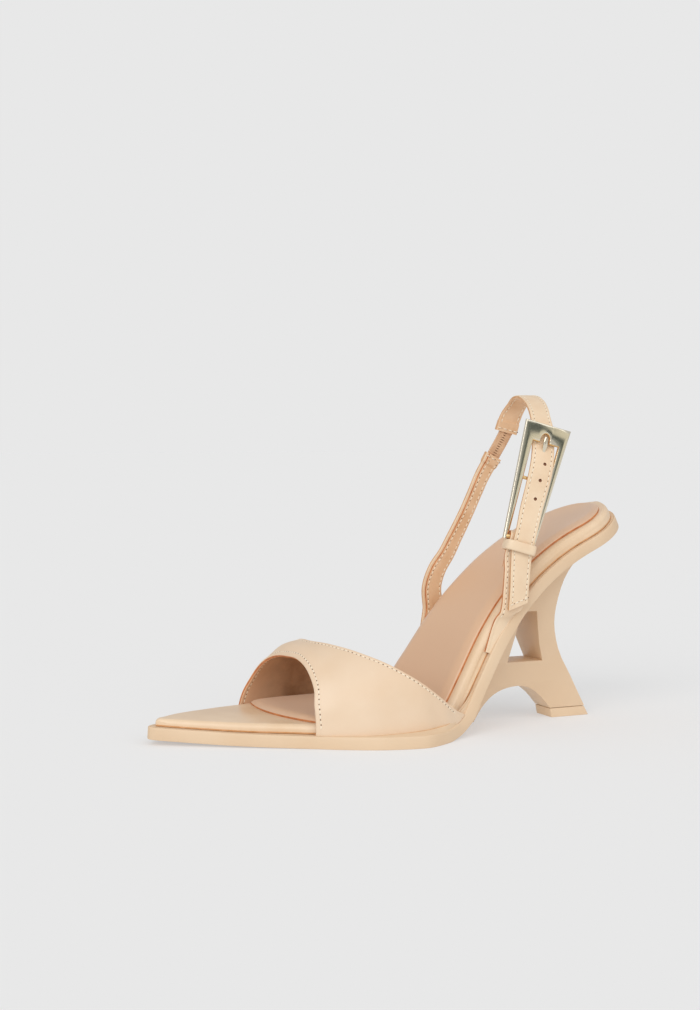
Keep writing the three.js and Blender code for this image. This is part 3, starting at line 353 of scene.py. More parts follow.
def tip_round(from_tip):
    """How full a layer is this far from its tip: a quarter circle from 0 to 1."""
    rest = 1 - np.clip(from_tip / TOE_CORNER, 0, 1)
    return np.sqrt(1 - rest**2)


def outline(s, inset, tip_inset=None):
    """Both edges at section s, moved in by inset, with the blunt tip and the round heel end."""
    tip_inset = inset if tip_inset is None else tip_inset
    sides = []
    for side in (1, -1):
        slope = (edge(s + 1, side) - edge(np.maximum(s - 1, 0), side)) / 2
        sides.append(edge(s, side) - side * inset * np.hypot(1, slope))
    middle = (sides[0] + sides[1]) / 2
    half = (sides[0] - sides[1]) / 2
    half = half * (TOE_BLUNT + (1 - TOE_BLUNT) * tip_round(s - tip_inset))
    past = np.clip((s - (SOLE_LENGTH - SEAT_RADIUS)) / (SEAT_RADIUS - inset), 0, 1)
    half = half * np.sqrt(1 - past**2)
    return middle + half, middle - half


def sections(tip_inset, seat_inset, count):
    """Section places for a layer: a few close ones at the tip, even ones, then close ones at the heel end."""
    tip = tip_inset + TOE_CORNER * (1 - np.cos(np.linspace(0, math.pi / 2, 9)[:-1]))
    seat_start = SOLE_LENGTH - SEAT_RADIUS
    even = np.linspace(tip_inset + TOE_CORNER, seat_start, count)
    angles = np.linspace(0, math.pi / 2, 30)[1:-1]
    seat = seat_start + (SEAT_RADIUS - seat_inset) * np.append(np.sin(angles), 0.9995)
    return np.concatenate([tip, even, seat])


def along_at(s):
    """Share of the run at a length walked."""
    return run_share(np.interp(s, walk_s, walk_y))


def footbed_top(s):
    """Height of the footbed's top above the underside."""
    return OUTSOLE_THICK + SEAM + FOOTBED_THICK * footbed_share(along_at(s))


def ledge_width(s):
    """Ledge of outsole outside the footbed, with room for the vamp's wall where it stands."""
    room = VAMP_LEDGE + LEATHER + VAMP_LEAN + SEAM
    bare = FOOTBED_LEDGE * ledge_share(along_at(s))
    share = under_vamp(along_at(s))
    return bare + (room - bare) * share


# %% [markdown]
# Most pieces of a shoe are skins over a row of rings, so one helper joins rings into a closed mesh. It also
# writes a UV map in millimetres, along the piece and round its section, for patterns that follow the leather.

# %% Mesh helpers


def outward(points, faces):
    """The faces, turned so that the closed mesh faces out."""
    volume = 0.0
    for face in faces:
        a = points[face[0]]
        for j in range(1, len(face) - 1):
            volume += np.dot(a, np.cross(points[face[j]], points[face[j + 1]]))
    return faces if volume > 0 else [tuple(reversed(face)) for face in faces]


def make_piece(name, points, faces, materials, slots=None, uv=None, sharp=38):
    """A mesh object from points in mm. slots gives each face its material, uv each point its place in mm."""
    points = np.asarray(points, float)
    order = outward(points, faces)
    mesh = bpy.data.meshes.new(name)
    mesh.from_pydata((points * MM).tolist(), [], order)
    for material in materials:
        mesh.materials.append(material)
    if slots is not None:
        mesh.polygons.foreach_set("material_index", np.asarray(slots, np.int32))
    if uv is not None:
        layer = mesh.uv_layers.new(name="along_and_round")
        corner = np.zeros(len(mesh.loops), np.int32)
        mesh.loops.foreach_get("vertex_index", corner)
        layer.data.foreach_set("uv", (np.asarray(uv, float) * MM)[corner].ravel())
    mesh.polygons.foreach_set("use_smooth", np.ones(len(mesh.polygons), bool))
    mesh.set_sharp_from_angle(angle=math.radians(sharp))
    mesh.update()
    piece = bpy.data.objects.new(name, mesh)
    scene.collection.objects.link(piece)
    return piece


def skin(rings, capped=True):
    """Points, faces and the ring of each face, over rings of as many points each. None marks a cap."""
    rings = np.asarray(rings, float)
    count, around = rings.shape[:2]
    points = rings.reshape(-1, 3)
    faces = []
    places = []
    for i in range(count - 1):
        for j in range(around):
            k = (j + 1) % around
            faces.append((i * around + j, i * around + k, (i + 1) * around + k, (i + 1) * around + j))
            places.append(j)
    if capped:
        last = (count - 1) * around
        faces.append(tuple(range(around - 1, -1, -1)))
        faces.append(tuple(range(last, last + around)))
        places += [None, None]
    return points, faces, places


def section_uv(rings):
    """UV of every point in mm: along the piece, and round its section from its first point."""
    rings = np.asarray(rings, float)
    middle = rings.mean(axis=1)
    along = np.concatenate([[0], np.cumsum(np.linalg.norm(np.diff(middle, axis=0), axis=1))])
    steps = np.linalg.norm(np.diff(rings, axis=1), axis=2)
    around = np.concatenate([np.zeros((len(rings), 1)), np.cumsum(steps, axis=1)], axis=1)
    return np.stack([np.broadcast_to(along[:, None], around.shape), around], -1).reshape(-1, 2)


def settle(piece, slot, *nodes):
    """Hands a finished piece to the frame: it rides on the one body and stands for its solids."""
    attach(piece, "root")
    if nodes:
        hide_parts(*nodes)
    triangles = sum(len(p.vertices) - 2 for p in piece.data.polygons)
    print(piece.name, "triangles:", triangles)
    return piece


# %% [markdown]
# Wherever the leather was cut, the raw edge was painted a warm orange brown and burnished. Thin as they are,
# these lines draw the whole shoe, so they get a material of their own rather than a darker leather.

# %% Edge paint


def edge_paint(name, pale, deep):
    """Burnished acrylic edge paint: a warm brown that thins out here and there."""
    material, tree, shader = start_material(name)
    place = add(tree, "ShaderNodeTexCoord").outputs["Object"]
    wear = add(tree, "ShaderNodeTexNoise", {"Scale": 1 / (4 * MM), "Detail": 4.0}, {"Vector": place})
    tone = add(tree, "ShaderNodeValToRGB", links={"Fac": wear.outputs["Fac"]})
    tone.color_ramp.elements[0].position = 0.35
    tone.color_ramp.elements[0].color = linear(deep)
    tone.color_ramp.elements[1].position = 0.68
    tone.color_ramp.elements[1].color = linear(pale)
    bump = add(
        tree, "ShaderNodeBump", {"Strength": 0.2, "Distance": 0.1 * MM}, {"Height": wear.outputs["Fac"]}
    )
    tree.links.new(tone.outputs["Color"], shader.inputs["Base Color"])
    tree.links.new(bump.outputs["Normal"], shader.inputs["Normal"])
    shader.inputs["Roughness"].default_value = 0.5
    return material


edge_brown = edge_paint("edge_paint_brown", "#D58C55", "#BC6C38")
edge_tan = edge_paint("edge_paint_tan", "#E3B386", "#CF9863")

# %% [markdown]
# The outsole and the top lift are moulded rubber, dyed through to match the leather. Moulding leaves a dead
# matt skin with a very fine stipple, so the colour is nearly even and the gloss is wide and weak.

# %% Moulded rubber


def moulded_rubber():
    """Dyed moulded rubber: an even nude tone, matt, with a fine stipple from the mould."""
    material, tree, shader = start_material("moulded_nude_rubber")
    place = add(tree, "ShaderNodeTexCoord").outputs["Object"]
    cloud = add(tree, "ShaderNodeTexNoise", {"Scale": 28.0, "Detail": 3.0}, {"Vector": place})
    tone = add(tree, "ShaderNodeValToRGB", links={"Fac": cloud.outputs["Fac"]})
    tone.color_ramp.elements[0].position = 0.3
    tone.color_ramp.elements[0].color = linear("#E0C2A0")
    tone.color_ramp.elements[1].position = 0.7
    tone.color_ramp.elements[1].color = linear("#E7CCAC")
    stipple_mm = 0.5  # coarser than the real stipple, so that it shows
    stipple = add(
        tree, "ShaderNodeTexNoise", {"Scale": 1 / (stipple_mm * MM), "Detail": 2.0}, {"Vector": place}
    )
    bump = add(
        tree, "ShaderNodeBump", {"Strength": 0.12, "Distance": 0.05 * MM}, {"Height": stipple.outputs["Fac"]}
    )
    tree.links.new(tone.outputs["Color"], shader.inputs["Base Color"])
    tree.links.new(bump.outputs["Normal"], shader.inputs["Normal"])
    shader.inputs["Roughness"].default_value = 0.58
    shader.inputs["Specular IOR Level"].default_value = 0.35
    return material


rubber = moulded_rubber()

# %% [markdown]
# The outsole is one moulded slab. Its upper edge is slightly rounded, where the mould's lip was, and its
# lower edge is crisper. Beside the ball it stands out as a shelf, and its top slopes up to the vamp in a
# soft shoulder that ends in a painted line. Rings a little over a millimetre apart carry that section round
# the ball and up the arch.

# %% Outsole
OUTSOLE_TOP_ROUND = 0.9
OUTSOLE_FOOT_ROUND = 0.4
ROUND_STEPS = 5
SHOULDER_STEPS = 9
LIP_EDGE = 0.65  # the shoulder's crest lies this far inside the outsole's edge
LIP_BACK = 1.2  # the crest runs on into the vamp's wall by this much


def quarter(steps, start):
    """Cosines and sines of a quarter turn, from start degrees on."""
    angles = np.radians(np.linspace(start, start + 90, steps))
    return np.cos(angles), np.sin(angles)


def outsole_ring(s):
    """The slab's section at one place: x and h of its points, from the outer foot round to the inner."""
    outer, inner = outline(s, 0)
    room = (outer - inner) / 4
    foot = min(OUTSOLE_FOOT_ROUND, room)
    top = min(OUTSOLE_TOP_ROUND, room)
    cos_low, sin_low = quarter(3, -90)
    cos_high, sin_high = quarter(ROUND_STEPS, 0)
    half_x = np.concatenate([-foot + foot * cos_low, -top + top * cos_high])
    half_h = np.concatenate([foot + foot * sin_low, OUTSOLE_THICK - top + top * sin_high])
    shelf = BALL_SHELF * shelf_share(along_at(s))
    lip = lip_height(along_at(s))
    crest = min(LIP_EDGE, room)
    buried = crest + min(LIP_BACK, room)
    t = np.linspace(0, 1, SHOULDER_STEPS)[1:]
    shoulder_x = (shelf - top) * (1 - t) - crest * t
    shoulder_h = OUTSOLE_THICK + lip * t * t * (3 - 2 * t) * 0.6 + lip * t * 0.4
    x = np.concatenate([outer + shelf + half_x, outer + shoulder_x, [outer - buried, outer - buried - 0.05]])
    h = np.concatenate([half_h, shoulder_h, [OUTSOLE_THICK + lip, OUTSOLE_THICK]])
    return deck(s, np.concatenate([x, (inner - half_x)[::-1]]), np.concatenate([h, half_h[::-1]]))


def make_outsole():
    """The moulded slab from toe tip to heel end."""
    places = sections(0, 0, 190)
    rings = [outsole_ring(s) for s in places]
    points, faces, round_places = skin(rings)
    line = 3 + ROUND_STEPS + SHOULDER_STEPS - 3
    around = len(rings[0])
    slots = [
        int(j == line and lip_height(along_at(places[k // around])) > 0.1) for k, j in enumerate(round_places)
    ]
    slab = make_piece("outsole_slab", points, faces, [rubber, edge_tan], slots, uv=section_uv(rings))
    return settle(slab, "outsole", "outsole")


make_outsole()

# %% [markdown]
# The leather is smooth calf, drum dyed and lightly finished. It has a fine pebble from the hair cells, a soft
# sheen, broad clouds of slightly warmer colour, and faint lines where it was stretched. One recipe makes all
# of the shoe's leathers, because they differ only in tone, in gloss and in how strongly they are grained.

# %% Leather recipe
PEBBLE_MM = 0.9  # a real cell is about half of this, drawn coarser so that it shows


def calf_leather(
    name, pale, deep, roughness, grain=0.2, cloud_mm=26, streak=0.0, pebble_mm=PEBBLE_MM, forward_tone=None
):
    """Smooth dyed calf: two tones in broad clouds, pebble grain, soft gloss; streak adds long pulled lines.

    The last argument is a second tone towards the toe and two places along the shoe, in mm: full at the
    first, gone at the second. On the vamp's lining that tone is painted light near the front edge.
    """
    material, tree, shader = start_material(name)
    coordinates = add(tree, "ShaderNodeTexCoord")
    place = coordinates.outputs["Object"]
    cloud = add(
        tree, "ShaderNodeTexNoise", {"Scale": 1 / (cloud_mm * MM), "Detail": 4.0, "Roughness": 0.55}, {
            "Vector": place
        }
    )
    tone = add(tree, "ShaderNodeValToRGB", links={"Fac": cloud.outputs["Fac"]})
    tone.color_ramp.elements[0].position = 0.32
    tone.color_ramp.elements[0].color = linear(deep)
    tone.color_ramp.elements[1].position = 0.66
    tone.color_ramp.elements[1].color = linear(pale)
    cells = add(
        tree,
        "ShaderNodeTexVoronoi",
        {"feature": "SMOOTH_F1", "Scale": 1 / (pebble_mm * MM), "Smoothness": 0.6},
        {"Vector": place},
    )
    pores = add(
        tree, "ShaderNodeTexNoise", {"Scale": 1 / (0.35 * pebble_mm * MM), "Detail": 2.0}, {"Vector": place}
    )
    relief = add(
        tree,
        "ShaderNodeMath",
        {"operation": "MULTIPLY_ADD", 1: 0.45},
        {0: pores.outputs["Fac"], 2: cells.outputs["Distance"]},
    )
    height = relief.outputs[0]
    if streak:
        follow = add(
            tree, "ShaderNodeMapping", {"Scale": (1 / 0.022, 1 / 0.0016, 1)},
            {"Vector": coordinates.outputs["UV"]},
        )
        lines = add(
            tree, "ShaderNodeTexNoise", {"Scale": 1.0, "Detail": 3.0}, {"Vector": follow.outputs["Vector"]}
        )
        mixed = add(
            tree, "ShaderNodeMath", {"operation": "MULTIPLY_ADD", 1: streak},
            {0: lines.outputs["Fac"], 2: height},
        )
        height = mixed.outputs[0]
    bump = add(tree, "ShaderNodeBump", {"Strength": grain, "Distance": 0.12 * MM}, {"Height": height})
    gloss = add(
        tree,
        "ShaderNodeMapRange",
        {"From Min": 0.3, "From Max": 0.7, "To Min": roughness - 0.04, "To Max": roughness + 0.05},
        {"Value": cloud.outputs["Fac"]},
    )
    colour = tone.outputs["Color"]
    if forward_tone:
        paler, start, end = forward_tone
        split = add(tree, "ShaderNodeSeparateXYZ", links={"Vector": place})
        fade = add(
            tree, "ShaderNodeMapRange", {"From Min": start * MM, "From Max": end * MM}, {
                "Value": split.outputs["Y"]
            }
        )
        mixed = add(
            tree, "ShaderNodeMix", {"data_type": "RGBA", 6: linear(paler)},
            {0: fade.outputs["Result"], 7: colour},
        )
        colour = mixed.outputs[2]
    tree.links.new(colour, shader.inputs["Base Color"])
    tree.links.new(gloss.outputs["Result"], shader.inputs["Roughness"])
    tree.links.new(bump.outputs["Normal"], shader.inputs["Normal"])
    shader.inputs["Specular IOR Level"].default_value = 0.45
    return material


vamp_calf = calf_leather("vamp_calf", "#EBD2B6", "#E6C9A9", 0.38, grain=0.14, cloud_mm=34)
wrap_calf = calf_leather("footbed_calf", "#EDD2B2", "#E3C39E", 0.33, grain=0.16, streak=1.8)
# The sock takes an even, slightly darker tone in front of 60 mm along the shoe, blending back into its clouds
# by 120 mm.
sock_calf = calf_leather(
    "sock_calf", "#E4C09F", "#DBB594", 0.36, grain=0.16, cloud_mm=40, forward_tone=("#DDB592", 60, 120)
)
sock_calf.node_tree.nodes["Principled BSDF"].inputs["Sheen Weight"].default_value = 0.18
strap_calf = calf_leather("strap_calf", "#F0D8B9", "#E9CBA9", 0.45, grain=0.2, cloud_mm=14)
lining_pig = calf_leather("lining_leather", "#EBC8A4", "#E0B78E", 0.55, grain=0.35, cloud_mm=9, pebble_mm=1.3)
# Painted shade: the vamp's lining is a dark brown copy of the lining leather, for the shade deep inside the
# toe, and its paler second tone towards the front edge is painted light.
shaded_vamp_lining = calf_leather(
    "vamp_lining_painted_shade", "#A67C5A", "#8A6344", 0.5, grain=0.4, cloud_mm=7, pebble_mm=1.3, forward_tone=(
        "#E2BB98", -36, -14
    )
)

# %% [markdown]
# The footbed is a board wrapped in leather. The wrap stands up from the outsole as a flat wall, rolls over
# the top in a full round, and gathers in long shallow folds where the board bends up into the arch. A thin
# line of edge paint shows in the joint below it.

# %% Footbed
RIM_STEPS = 9
RIM_ROUND = 2.7  # the roll over the top
RIM_FOOT = 0.4  # small round at the foot of the wall
JOINT_LINE = 0.35  # height of the painted joint
FOLD_DEPTH = 0.22


def rim_folds(s, up):
    """How far the wrap stands out at a share of the rim's height: long folds over the arch and the seat."""
    arch = np.exp(-(((along_at(s) - 0.63) / 0.07) ** 2)) + 0.7 * np.exp(-(((along_at(s) - 0.86) / 0.1) ** 2))
    waves = np.sin(9 * up + 0.05 * s) + 0.6 * np.sin(16 * up - 0.09 * s + 1)
    return FOLD_DEPTH * arch * waves * np.sin(math.pi * up)


def footbed_ring(s, tip_inset):
    """The wrapped board's section at one place."""
    outer, inner = outline(s, ledge_width(s), tip_inset)
    low = OUTSOLE_THICK + SEAM / 3
    full = footbed_top(s)
    high = low + (full - low) * (0.5 + 0.5 * tip_round(s - tip_inset))
    tall = high - low
    roll = min(RIM_ROUND, 0.62 * tall, (outer - inner) / 4)
    foot = min(RIM_FOOT, roll)
    cos_low, sin_low = quarter(3, -90)
    cos_high, sin_high = quarter(RIM_STEPS, 0)
    wall = np.linspace(min(JOINT_LINE + foot, 0.3 * tall), tall - roll, 6)[:-1]
    out = np.concatenate([foot * (cos_low - 1), 0 * wall, roll * (cos_high - 1)])
    up = np.concatenate([foot * (1 + sin_low) * 0.5, wall, tall - roll + roll * sin_high])
    out = out + rim_folds(s, up / tall)
    h = low + up
    x = np.concatenate([outer + out, (inner - out)[::-1]])
    return deck(s, x, np.concatenate([h, h[::-1]]))


def make_footbed():
    """The leather-wrapped board."""
    tip_inset = FOOTBED_LEDGE * SOLE[0][6]
    seat_inset = FOOTBED_LEDGE * SOLE[-1][6]
    rings = [footbed_ring(s, tip_inset) for s in sections(tip_inset, seat_inset, 190)]
    points, faces, places = skin(rings)
    last = len(rings[0]) - 2
    slots = [int(j in (0, 1, 2, last, last - 1, last - 2)) for j in places]
    board = make_piece(
        "footbed_wrap", points, faces, [wrap_calf, edge_tan], slots, uv=section_uv(rings), sharp=60
    )
    return settle(board, "footbed_leather", "footbed")


make_footbed()

# %% [markdown]
# The sock is the padded leather that the foot stands on. Its cut edge is thin and painted, it swells over the
# first few millimetres to its padded thickness, and it is hollowed a little under the heel. Its front edge is
# a shallow bow. The mesh is a grid of lanes from that bow to the heel end.

# %% Sock
SOCK_LANES = 49
SOCK_ROWS = 150
BOW_OUTER = (0.33, 0.013)  # ends of the front bow: share of BALL_WIDTH, and of the run behind the vamp's edge
BOW_INNER = (-0.46, -0.014)
VAMP_FRONT_EDGE = 0.272


def bow_y(x):
    """Y of the sock's front edge at a place across."""
    outer = np.array([BALL_WIDTH * BOW_OUTER[0], run_y(VAMP_FRONT_EDGE + BOW_OUTER[1])])
    inner = np.array([BALL_WIDTH * BOW_INNER[0], run_y(VAMP_FRONT_EDGE + BOW_INNER[1])])
    t = np.linspace(-0.2, 1.2, 60)
    middle = (outer + inner) / 2 - np.array([0, 2 * SOCK_BOW])
    bow = np.outer((1 - t) ** 2, outer) + np.outer(2 * t * (1 - t), middle) + np.outer(t**2, inner)
    return np.interp(x, bow[::-1, 0], bow[::-1, 1])


def sock_lane(t, rows):
    """Points of the sock's top along one lane, t from -1 at the inner edge to 1 at the outer."""
    low, high = 0.0, SOLE_LENGTH / 2
    for _ in range(34):
        s = (low + high) / 2
        outer, inner = outline(s, ledge_width(s) + SOCK_INSET)
        x = (outer + inner) / 2 + t * (outer - inner) / 2
        if deck(s, x, footbed_top(s))[1] > bow_y(x):
            high = s
        else:
            low = s
    end = SOLE_LENGTH - FOOTBED_LEDGE * SOLE[-1][6] - SOCK_INSET
    share = np.linspace(0, 1, rows)
    share = np.where(share < 0.8, share * (0.9 / 0.8), 0.9 + 0.1 * np.sin((share - 0.8) / 0.2 * math.pi / 2))
    return low + (end - 0.02 - low) * share


def sock_height(s, t, half, from_front):
    """Height of the sock's top over the footbed: its edge, its padded middle and the hollow of the seat."""
    from_side = half * (1 - abs(t))
    near = np.minimum(from_side, from_front)
    swell = np.sin(np.clip(near / SOCK_PAD, 0, 1) * math.pi / 2)
    edge_round = 0.35 * (1 - np.clip(near / 0.6, 0, 1)) ** 2
    cup = SEAT_CUP * cup_share(along_at(s)) * (1 - t**2)
    return SOCK_EDGE + (SOCK_THICK - SOCK_EDGE) * swell - edge_round - cup


def make_sock():
    """The padded sock, with a painted edge all round."""
    inset = SOCK_INSET
    lanes = np.sin(np.linspace(-1, 1, SOCK_LANES) * math.pi / 2)
    top = np.zeros((SOCK_LANES, SOCK_ROWS, 3))
    foot = np.zeros_like(top)
    for i, t in enumerate(lanes):
        s = sock_lane(t, SOCK_ROWS)
        outer, inner = outline(s, ledge_width(s) + inset)
        half = (outer - inner) / 2
        x = (outer + inner) / 2 + t * half
        low = footbed_top(s) + SEAM / 3
        height = sock_height(s, t, half, s - s[0])
        top[i] = deck(s, x, low + height)
        foot[i] = deck(s, x, low)
    points = np.concatenate([top.reshape(-1, 3), foot.reshape(-1, 3)])
    faces = []
    slots = []
    under = SOCK_LANES * SOCK_ROWS

    def at(i, j):
        return i * SOCK_ROWS + j

    for i in range(SOCK_LANES - 1):
        for j in range(SOCK_ROWS - 1):
            faces.append((at(i, j), at(i + 1, j), at(i + 1, j + 1), at(i, j + 1)))
            faces.append(tuple(under + v for v in reversed(faces[-1])))
            slots += [0, 0]
    rim = [at(i, 0) for i in range(SOCK_LANES)]
    rim += [at(SOCK_LANES - 1, j) for j in range(1, SOCK_ROWS)]
    rim += [at(i, SOCK_ROWS - 1) for i in range(SOCK_LANES - 2, -1, -1)]
    rim += [at(0, j) for j in range(SOCK_ROWS - 2, 0, -1)]
    for a, b in zip(rim, rim[1:] + rim[:1]):
        faces.append((b, a, under + a, under + b))
        slots.append(1)
    sock = make_piece("sock_pad", points, faces, [sock_calf, edge_brown], slots, sharp=50)
    return settle(sock, "sock_leather", "sock")


sock = make_sock()

# %% [markdown]
# The vamp is one wide band of leather over the toes. It is lasted over a form whose section is a squarish
# ellipse, and its two edges are free curves that run together on top of the foot. The wall is leather outside
# and a thin lining inside, painted dark brown as shade deep in the toe and paler near the front edge as
# painted light, and both cut edges are rolled and painted.

# %% Vamp
CROWN_COLUMNS = ("along", "height")
CROWN = [
    (0.2, 0.6),
    (0.245, 0.755),
    (0.271, 0.845),
    (0.295, 0.95),
    (0.322, 0.985),
    (0.367, 1.075),
    (0.434, 1.22),
    (0.5, 1.32),
    (0.6, 1.42),
]
VAMP_COLUMNS = ("along", "front", "back")
VAMP = [
    (0, 0.272, 0.578),
    (0.1, 0.272, 0.49),
    (0.2, 0.277, 0.421),
    (0.3, 0.2775, 0.373),
    (0.4, 0.276, 0.341),
    (0.5, 0.27, 0.323),
    (0.6, 0.264, 0.326),
    (0.7, 0.258, 0.358),
    (0.8, 0.25, 0.408),
    (0.9, 0.236, 0.465),
    (1, 0.227, 0.525),
]
crown_height = smooth_column(CROWN_COLUMNS, CROWN, "height")
vamp_front = smooth_column(VAMP_COLUMNS, VAMP, "front")
vamp_back = smooth_column(VAMP_COLUMNS, VAMP, "back")
VAMP_ROUND_STEPS = 150
VAMP_MIDDLE_STEPS = 30
EDGE_ROLL = [
    (0, 0.42), (0.12, 0.18), (0.35, 0.04), (0.7, 0), (1.35, 0.02), (1.9, 0.16), (2.45, 0.02), (3.2, -0.03)
]


def vamp_face(round_share, long_share):
    """Outer face of the vamp: round over the foot from the outer sole edge, long from front edge to back."""
    r, q = np.broadcast_arrays(np.asarray(round_share, float), np.asarray(long_share, float))
    along = vamp_front(r) * (1 - q) + vamp_back(r) * q
    y = run_y(along)
    outer = r < 0.5
    side = np.where(outer, 1.0, -1.0)
    half = np.where(outer, lateral(along), medial(along))
    foot_x = BALL_WIDTH * half - side * VAMP_LEDGE
    h = OUTSOLE_THICK + SEAM
    foot_z = deck(deck_over(foot_x, y, h), foot_x, h)[..., 2]
    angle = math.pi * r
    reach = np.abs(np.cos(angle)) ** (2 / SECTION_POWER)
    lift = np.clip(np.sin(angle), 0, 1) ** (2 / SECTION_POWER)
    x = CROWN_ACROSS + (foot_x - CROWN_ACROSS) * reach
    z = foot_z + (VAMP_CROWN * crown_height(along) - foot_z) * lift
    return np.stack([x, y, z], -1)


def vamp_grid():
    """Shares over and along the vamp for its grid, how far in each place lies, and the normals."""
    over = np.linspace(0, 1, VAMP_ROUND_STEPS + 1)
    over = over + 0.35 * np.sin(2 * math.pi * over) / (2 * math.pi) * 0.5
    front = vamp_face(over, 0)
    length = np.linalg.norm(vamp_face(over, 1) - front, axis=-1)
    margin = np.array([row[0] for row in EDGE_ROLL])
    dip = np.array([row[1] for row in EDGE_ROLL])
    middle = np.linspace(0, 1, VAMP_MIDDLE_STEPS)[1:-1]
    last = margin[-1]
    share = [
        np.concatenate([margin / size, last / size + middle * (1 - 2 * last / size), 1 - margin[::-1] / size])
        for size in length
    ]
    depth = np.concatenate([dip, np.full(len(middle), dip[-1]), dip[::-1]])
    return over, np.array(share), depth


def vamp_normals(over, share):
    """Unit normals of the outer face, pointing into the shoe."""
    step = 1e-3
    r = np.clip(over[:, None], step, 1 - step) + np.zeros_like(share)
    q = np.clip(share, step, 1 - step)
    across = vamp_face(r + step, q) - vamp_face(r - step, q)
    back = vamp_face(r, q + step) - vamp_face(r, q - step)
    normal = np.cross(across, back)
    normal /= np.linalg.norm(normal, axis=-1, keepdims=True)
    normal[0] = (-1, 0, 0)
    normal[-1] = (1, 0, 0)
    return normal


def vamp_creases(points):
    """Shallow waves of the lasted leather, in mm, strongest near the outer rear and the inner front."""
    x, y, z = points[..., 0], points[..., 1], points[..., 2]
    rear = np.exp(-(((y - 28) / 16) ** 2 + ((z - 14) / 12) ** 2 + ((x - 36) / 14) ** 2))
    front = np.exp(-(((y + 28) / 9) ** 2 + ((z - 22) / 14) ** 2 + ((x - 22) / 16) ** 2))
    ripples = 0.28 * rear * np.sin(0.55 * y + 0.25 * z) + 0.2 * front * np.sin(0.6 * z - 0.3 * y)
    broad = 0.16 * np.sin(0.13 * y + 0.11 * z + 0.5) * np.sin(0.09 * x - 0.07 * z)
    return ripples + broad


def make_vamp():
    """The vamp's wall with rolled edges: calf outside, lining inside, paint on the cut edges."""
    over, share, depth = vamp_grid()
    face = vamp_face(over[:, None] + np.zeros_like(share), share)
    inward = vamp_normals(over, share)
    fade = np.clip(np.minimum(share, 1 - share) * 20, 0, 1)
    outer = face + inward * (depth + vamp_creases(face) * fade)[..., None]
    inner = face + inward * (LEATHER - np.maximum(depth, 0) * 0.8)[..., None]
    inner[[0, -1], :, 2] = face[[0, -1], :, 2]
    for skin_points in (outer, inner):
        skin_points[[0, -1], :, 2] -= SEAM
    rows, columns = share.shape
    points = np.concatenate([outer.reshape(-1, 3), inner.reshape(-1, 3)])
    far = rows * columns
    faces = []
    slots = []

    def at(i, j):
        return i * columns + j

    for i in range(rows - 1):
        for j in range(columns - 1):
            faces.append((at(i, j), at(i, j + 1), at(i + 1, j + 1), at(i + 1, j)))
            slots.append(0)
            faces.append(tuple(far + v for v in reversed(faces[-1])))
            slots.append(1)
        for j, turned in ((0, True), (columns - 1, False)):
            a, b = at(i, j), at(i + 1, j)
            quad = (b, far + b, far + a, a)
            faces.append(quad if turned else tuple(reversed(quad)))
            slots.append(2)
    for j in range(columns - 1):
        for i, turned in ((0, False), (rows - 1, True)):
            a, b = at(i, j), at(i, j + 1)
            quad = (a, far + a, far + b, b)
            faces.append(quad if not turned else tuple(reversed(quad)))
            slots.append(2)
    vamp = make_piece("vamp_upper", points, faces, [vamp_calf, shaded_vamp_lining, edge_brown], slots, sharp=55)
    settle(vamp, "vamp_leather", "vamp")
    return over, outer, inner, inward


vamp_over, vamp_outer, vamp_inner, vamp_inward = make_vamp()

# %% [markdown]
# Stitches repeat along a line that lies on the leather, which is what Geometry Nodes are for. The line
# carries the leather's normal at each point. The tree puts one short thread at every pitch, turned along
# the line and flat on the leather, with a small fixed-seed wobble because no two stitches lie quite alike.
# The same tree with a smaller grain and half a pitch of shift makes the needle holes between the threads:
# dark brown grains that paint the shade inside each hole.

# %% Thread and needle-hole materials


def plain_finish(name, pale, deep, roughness, size_mm, bump_mm=0.03, metallic=0.0):
    """A small part's finish: two close tones in noise of a given size, with a little relief."""
    material, tree, shader = start_material(name)
    place = add(tree, "ShaderNodeTexCoord").outputs["Object"]
    noise = add(tree, "ShaderNodeTexNoise", {"Scale": 1 / (size_mm * MM), "Detail": 2.0}, {"Vector": place})
    tone = add(tree, "ShaderNodeValToRGB", links={"Fac": noise.outputs["Fac"]})
    tone.color_ramp.elements[0].position = 0.35
    tone.color_ramp.elements[0].color = linear(deep)
    tone.color_ramp.elements[1].position = 0.65
    tone.color_ramp.elements[1].color = linear(pale)
    bump = add(
        tree, "ShaderNodeBump", {"Strength": 0.3, "Distance": bump_mm * MM}, {"Height": noise.outputs["Fac"]}
    )
    tree.links.new(tone.outputs["Color"], shader.inputs["Base Color"])
    tree.links.new(bump.outputs["Normal"], shader.inputs["Normal"])
    shader.inputs["Roughness"].default_value = roughness
    shader.inputs["Metallic"].default_value = metallic
    return material


cream_thread = plain_finish("waxed_cream_thread", "#FBF1DF", "#EEDCC0", 0.6, 0.3)
# Painted shade: needle holes are dark brown grains on the leather, standing for the shade inside each hole.
hole_shade = plain_finish("needle_hole_shadow", "#7A4E30", "#5A3620", 0.9, 0.4)
punched_leather = plain_finish("punched_hole_leather", "#B98A6C", "#93654A", 0.85, 0.5)

# %% Stitch tree
THREAD_WIDE = 0.55
STITCH_PITCH = 2.3


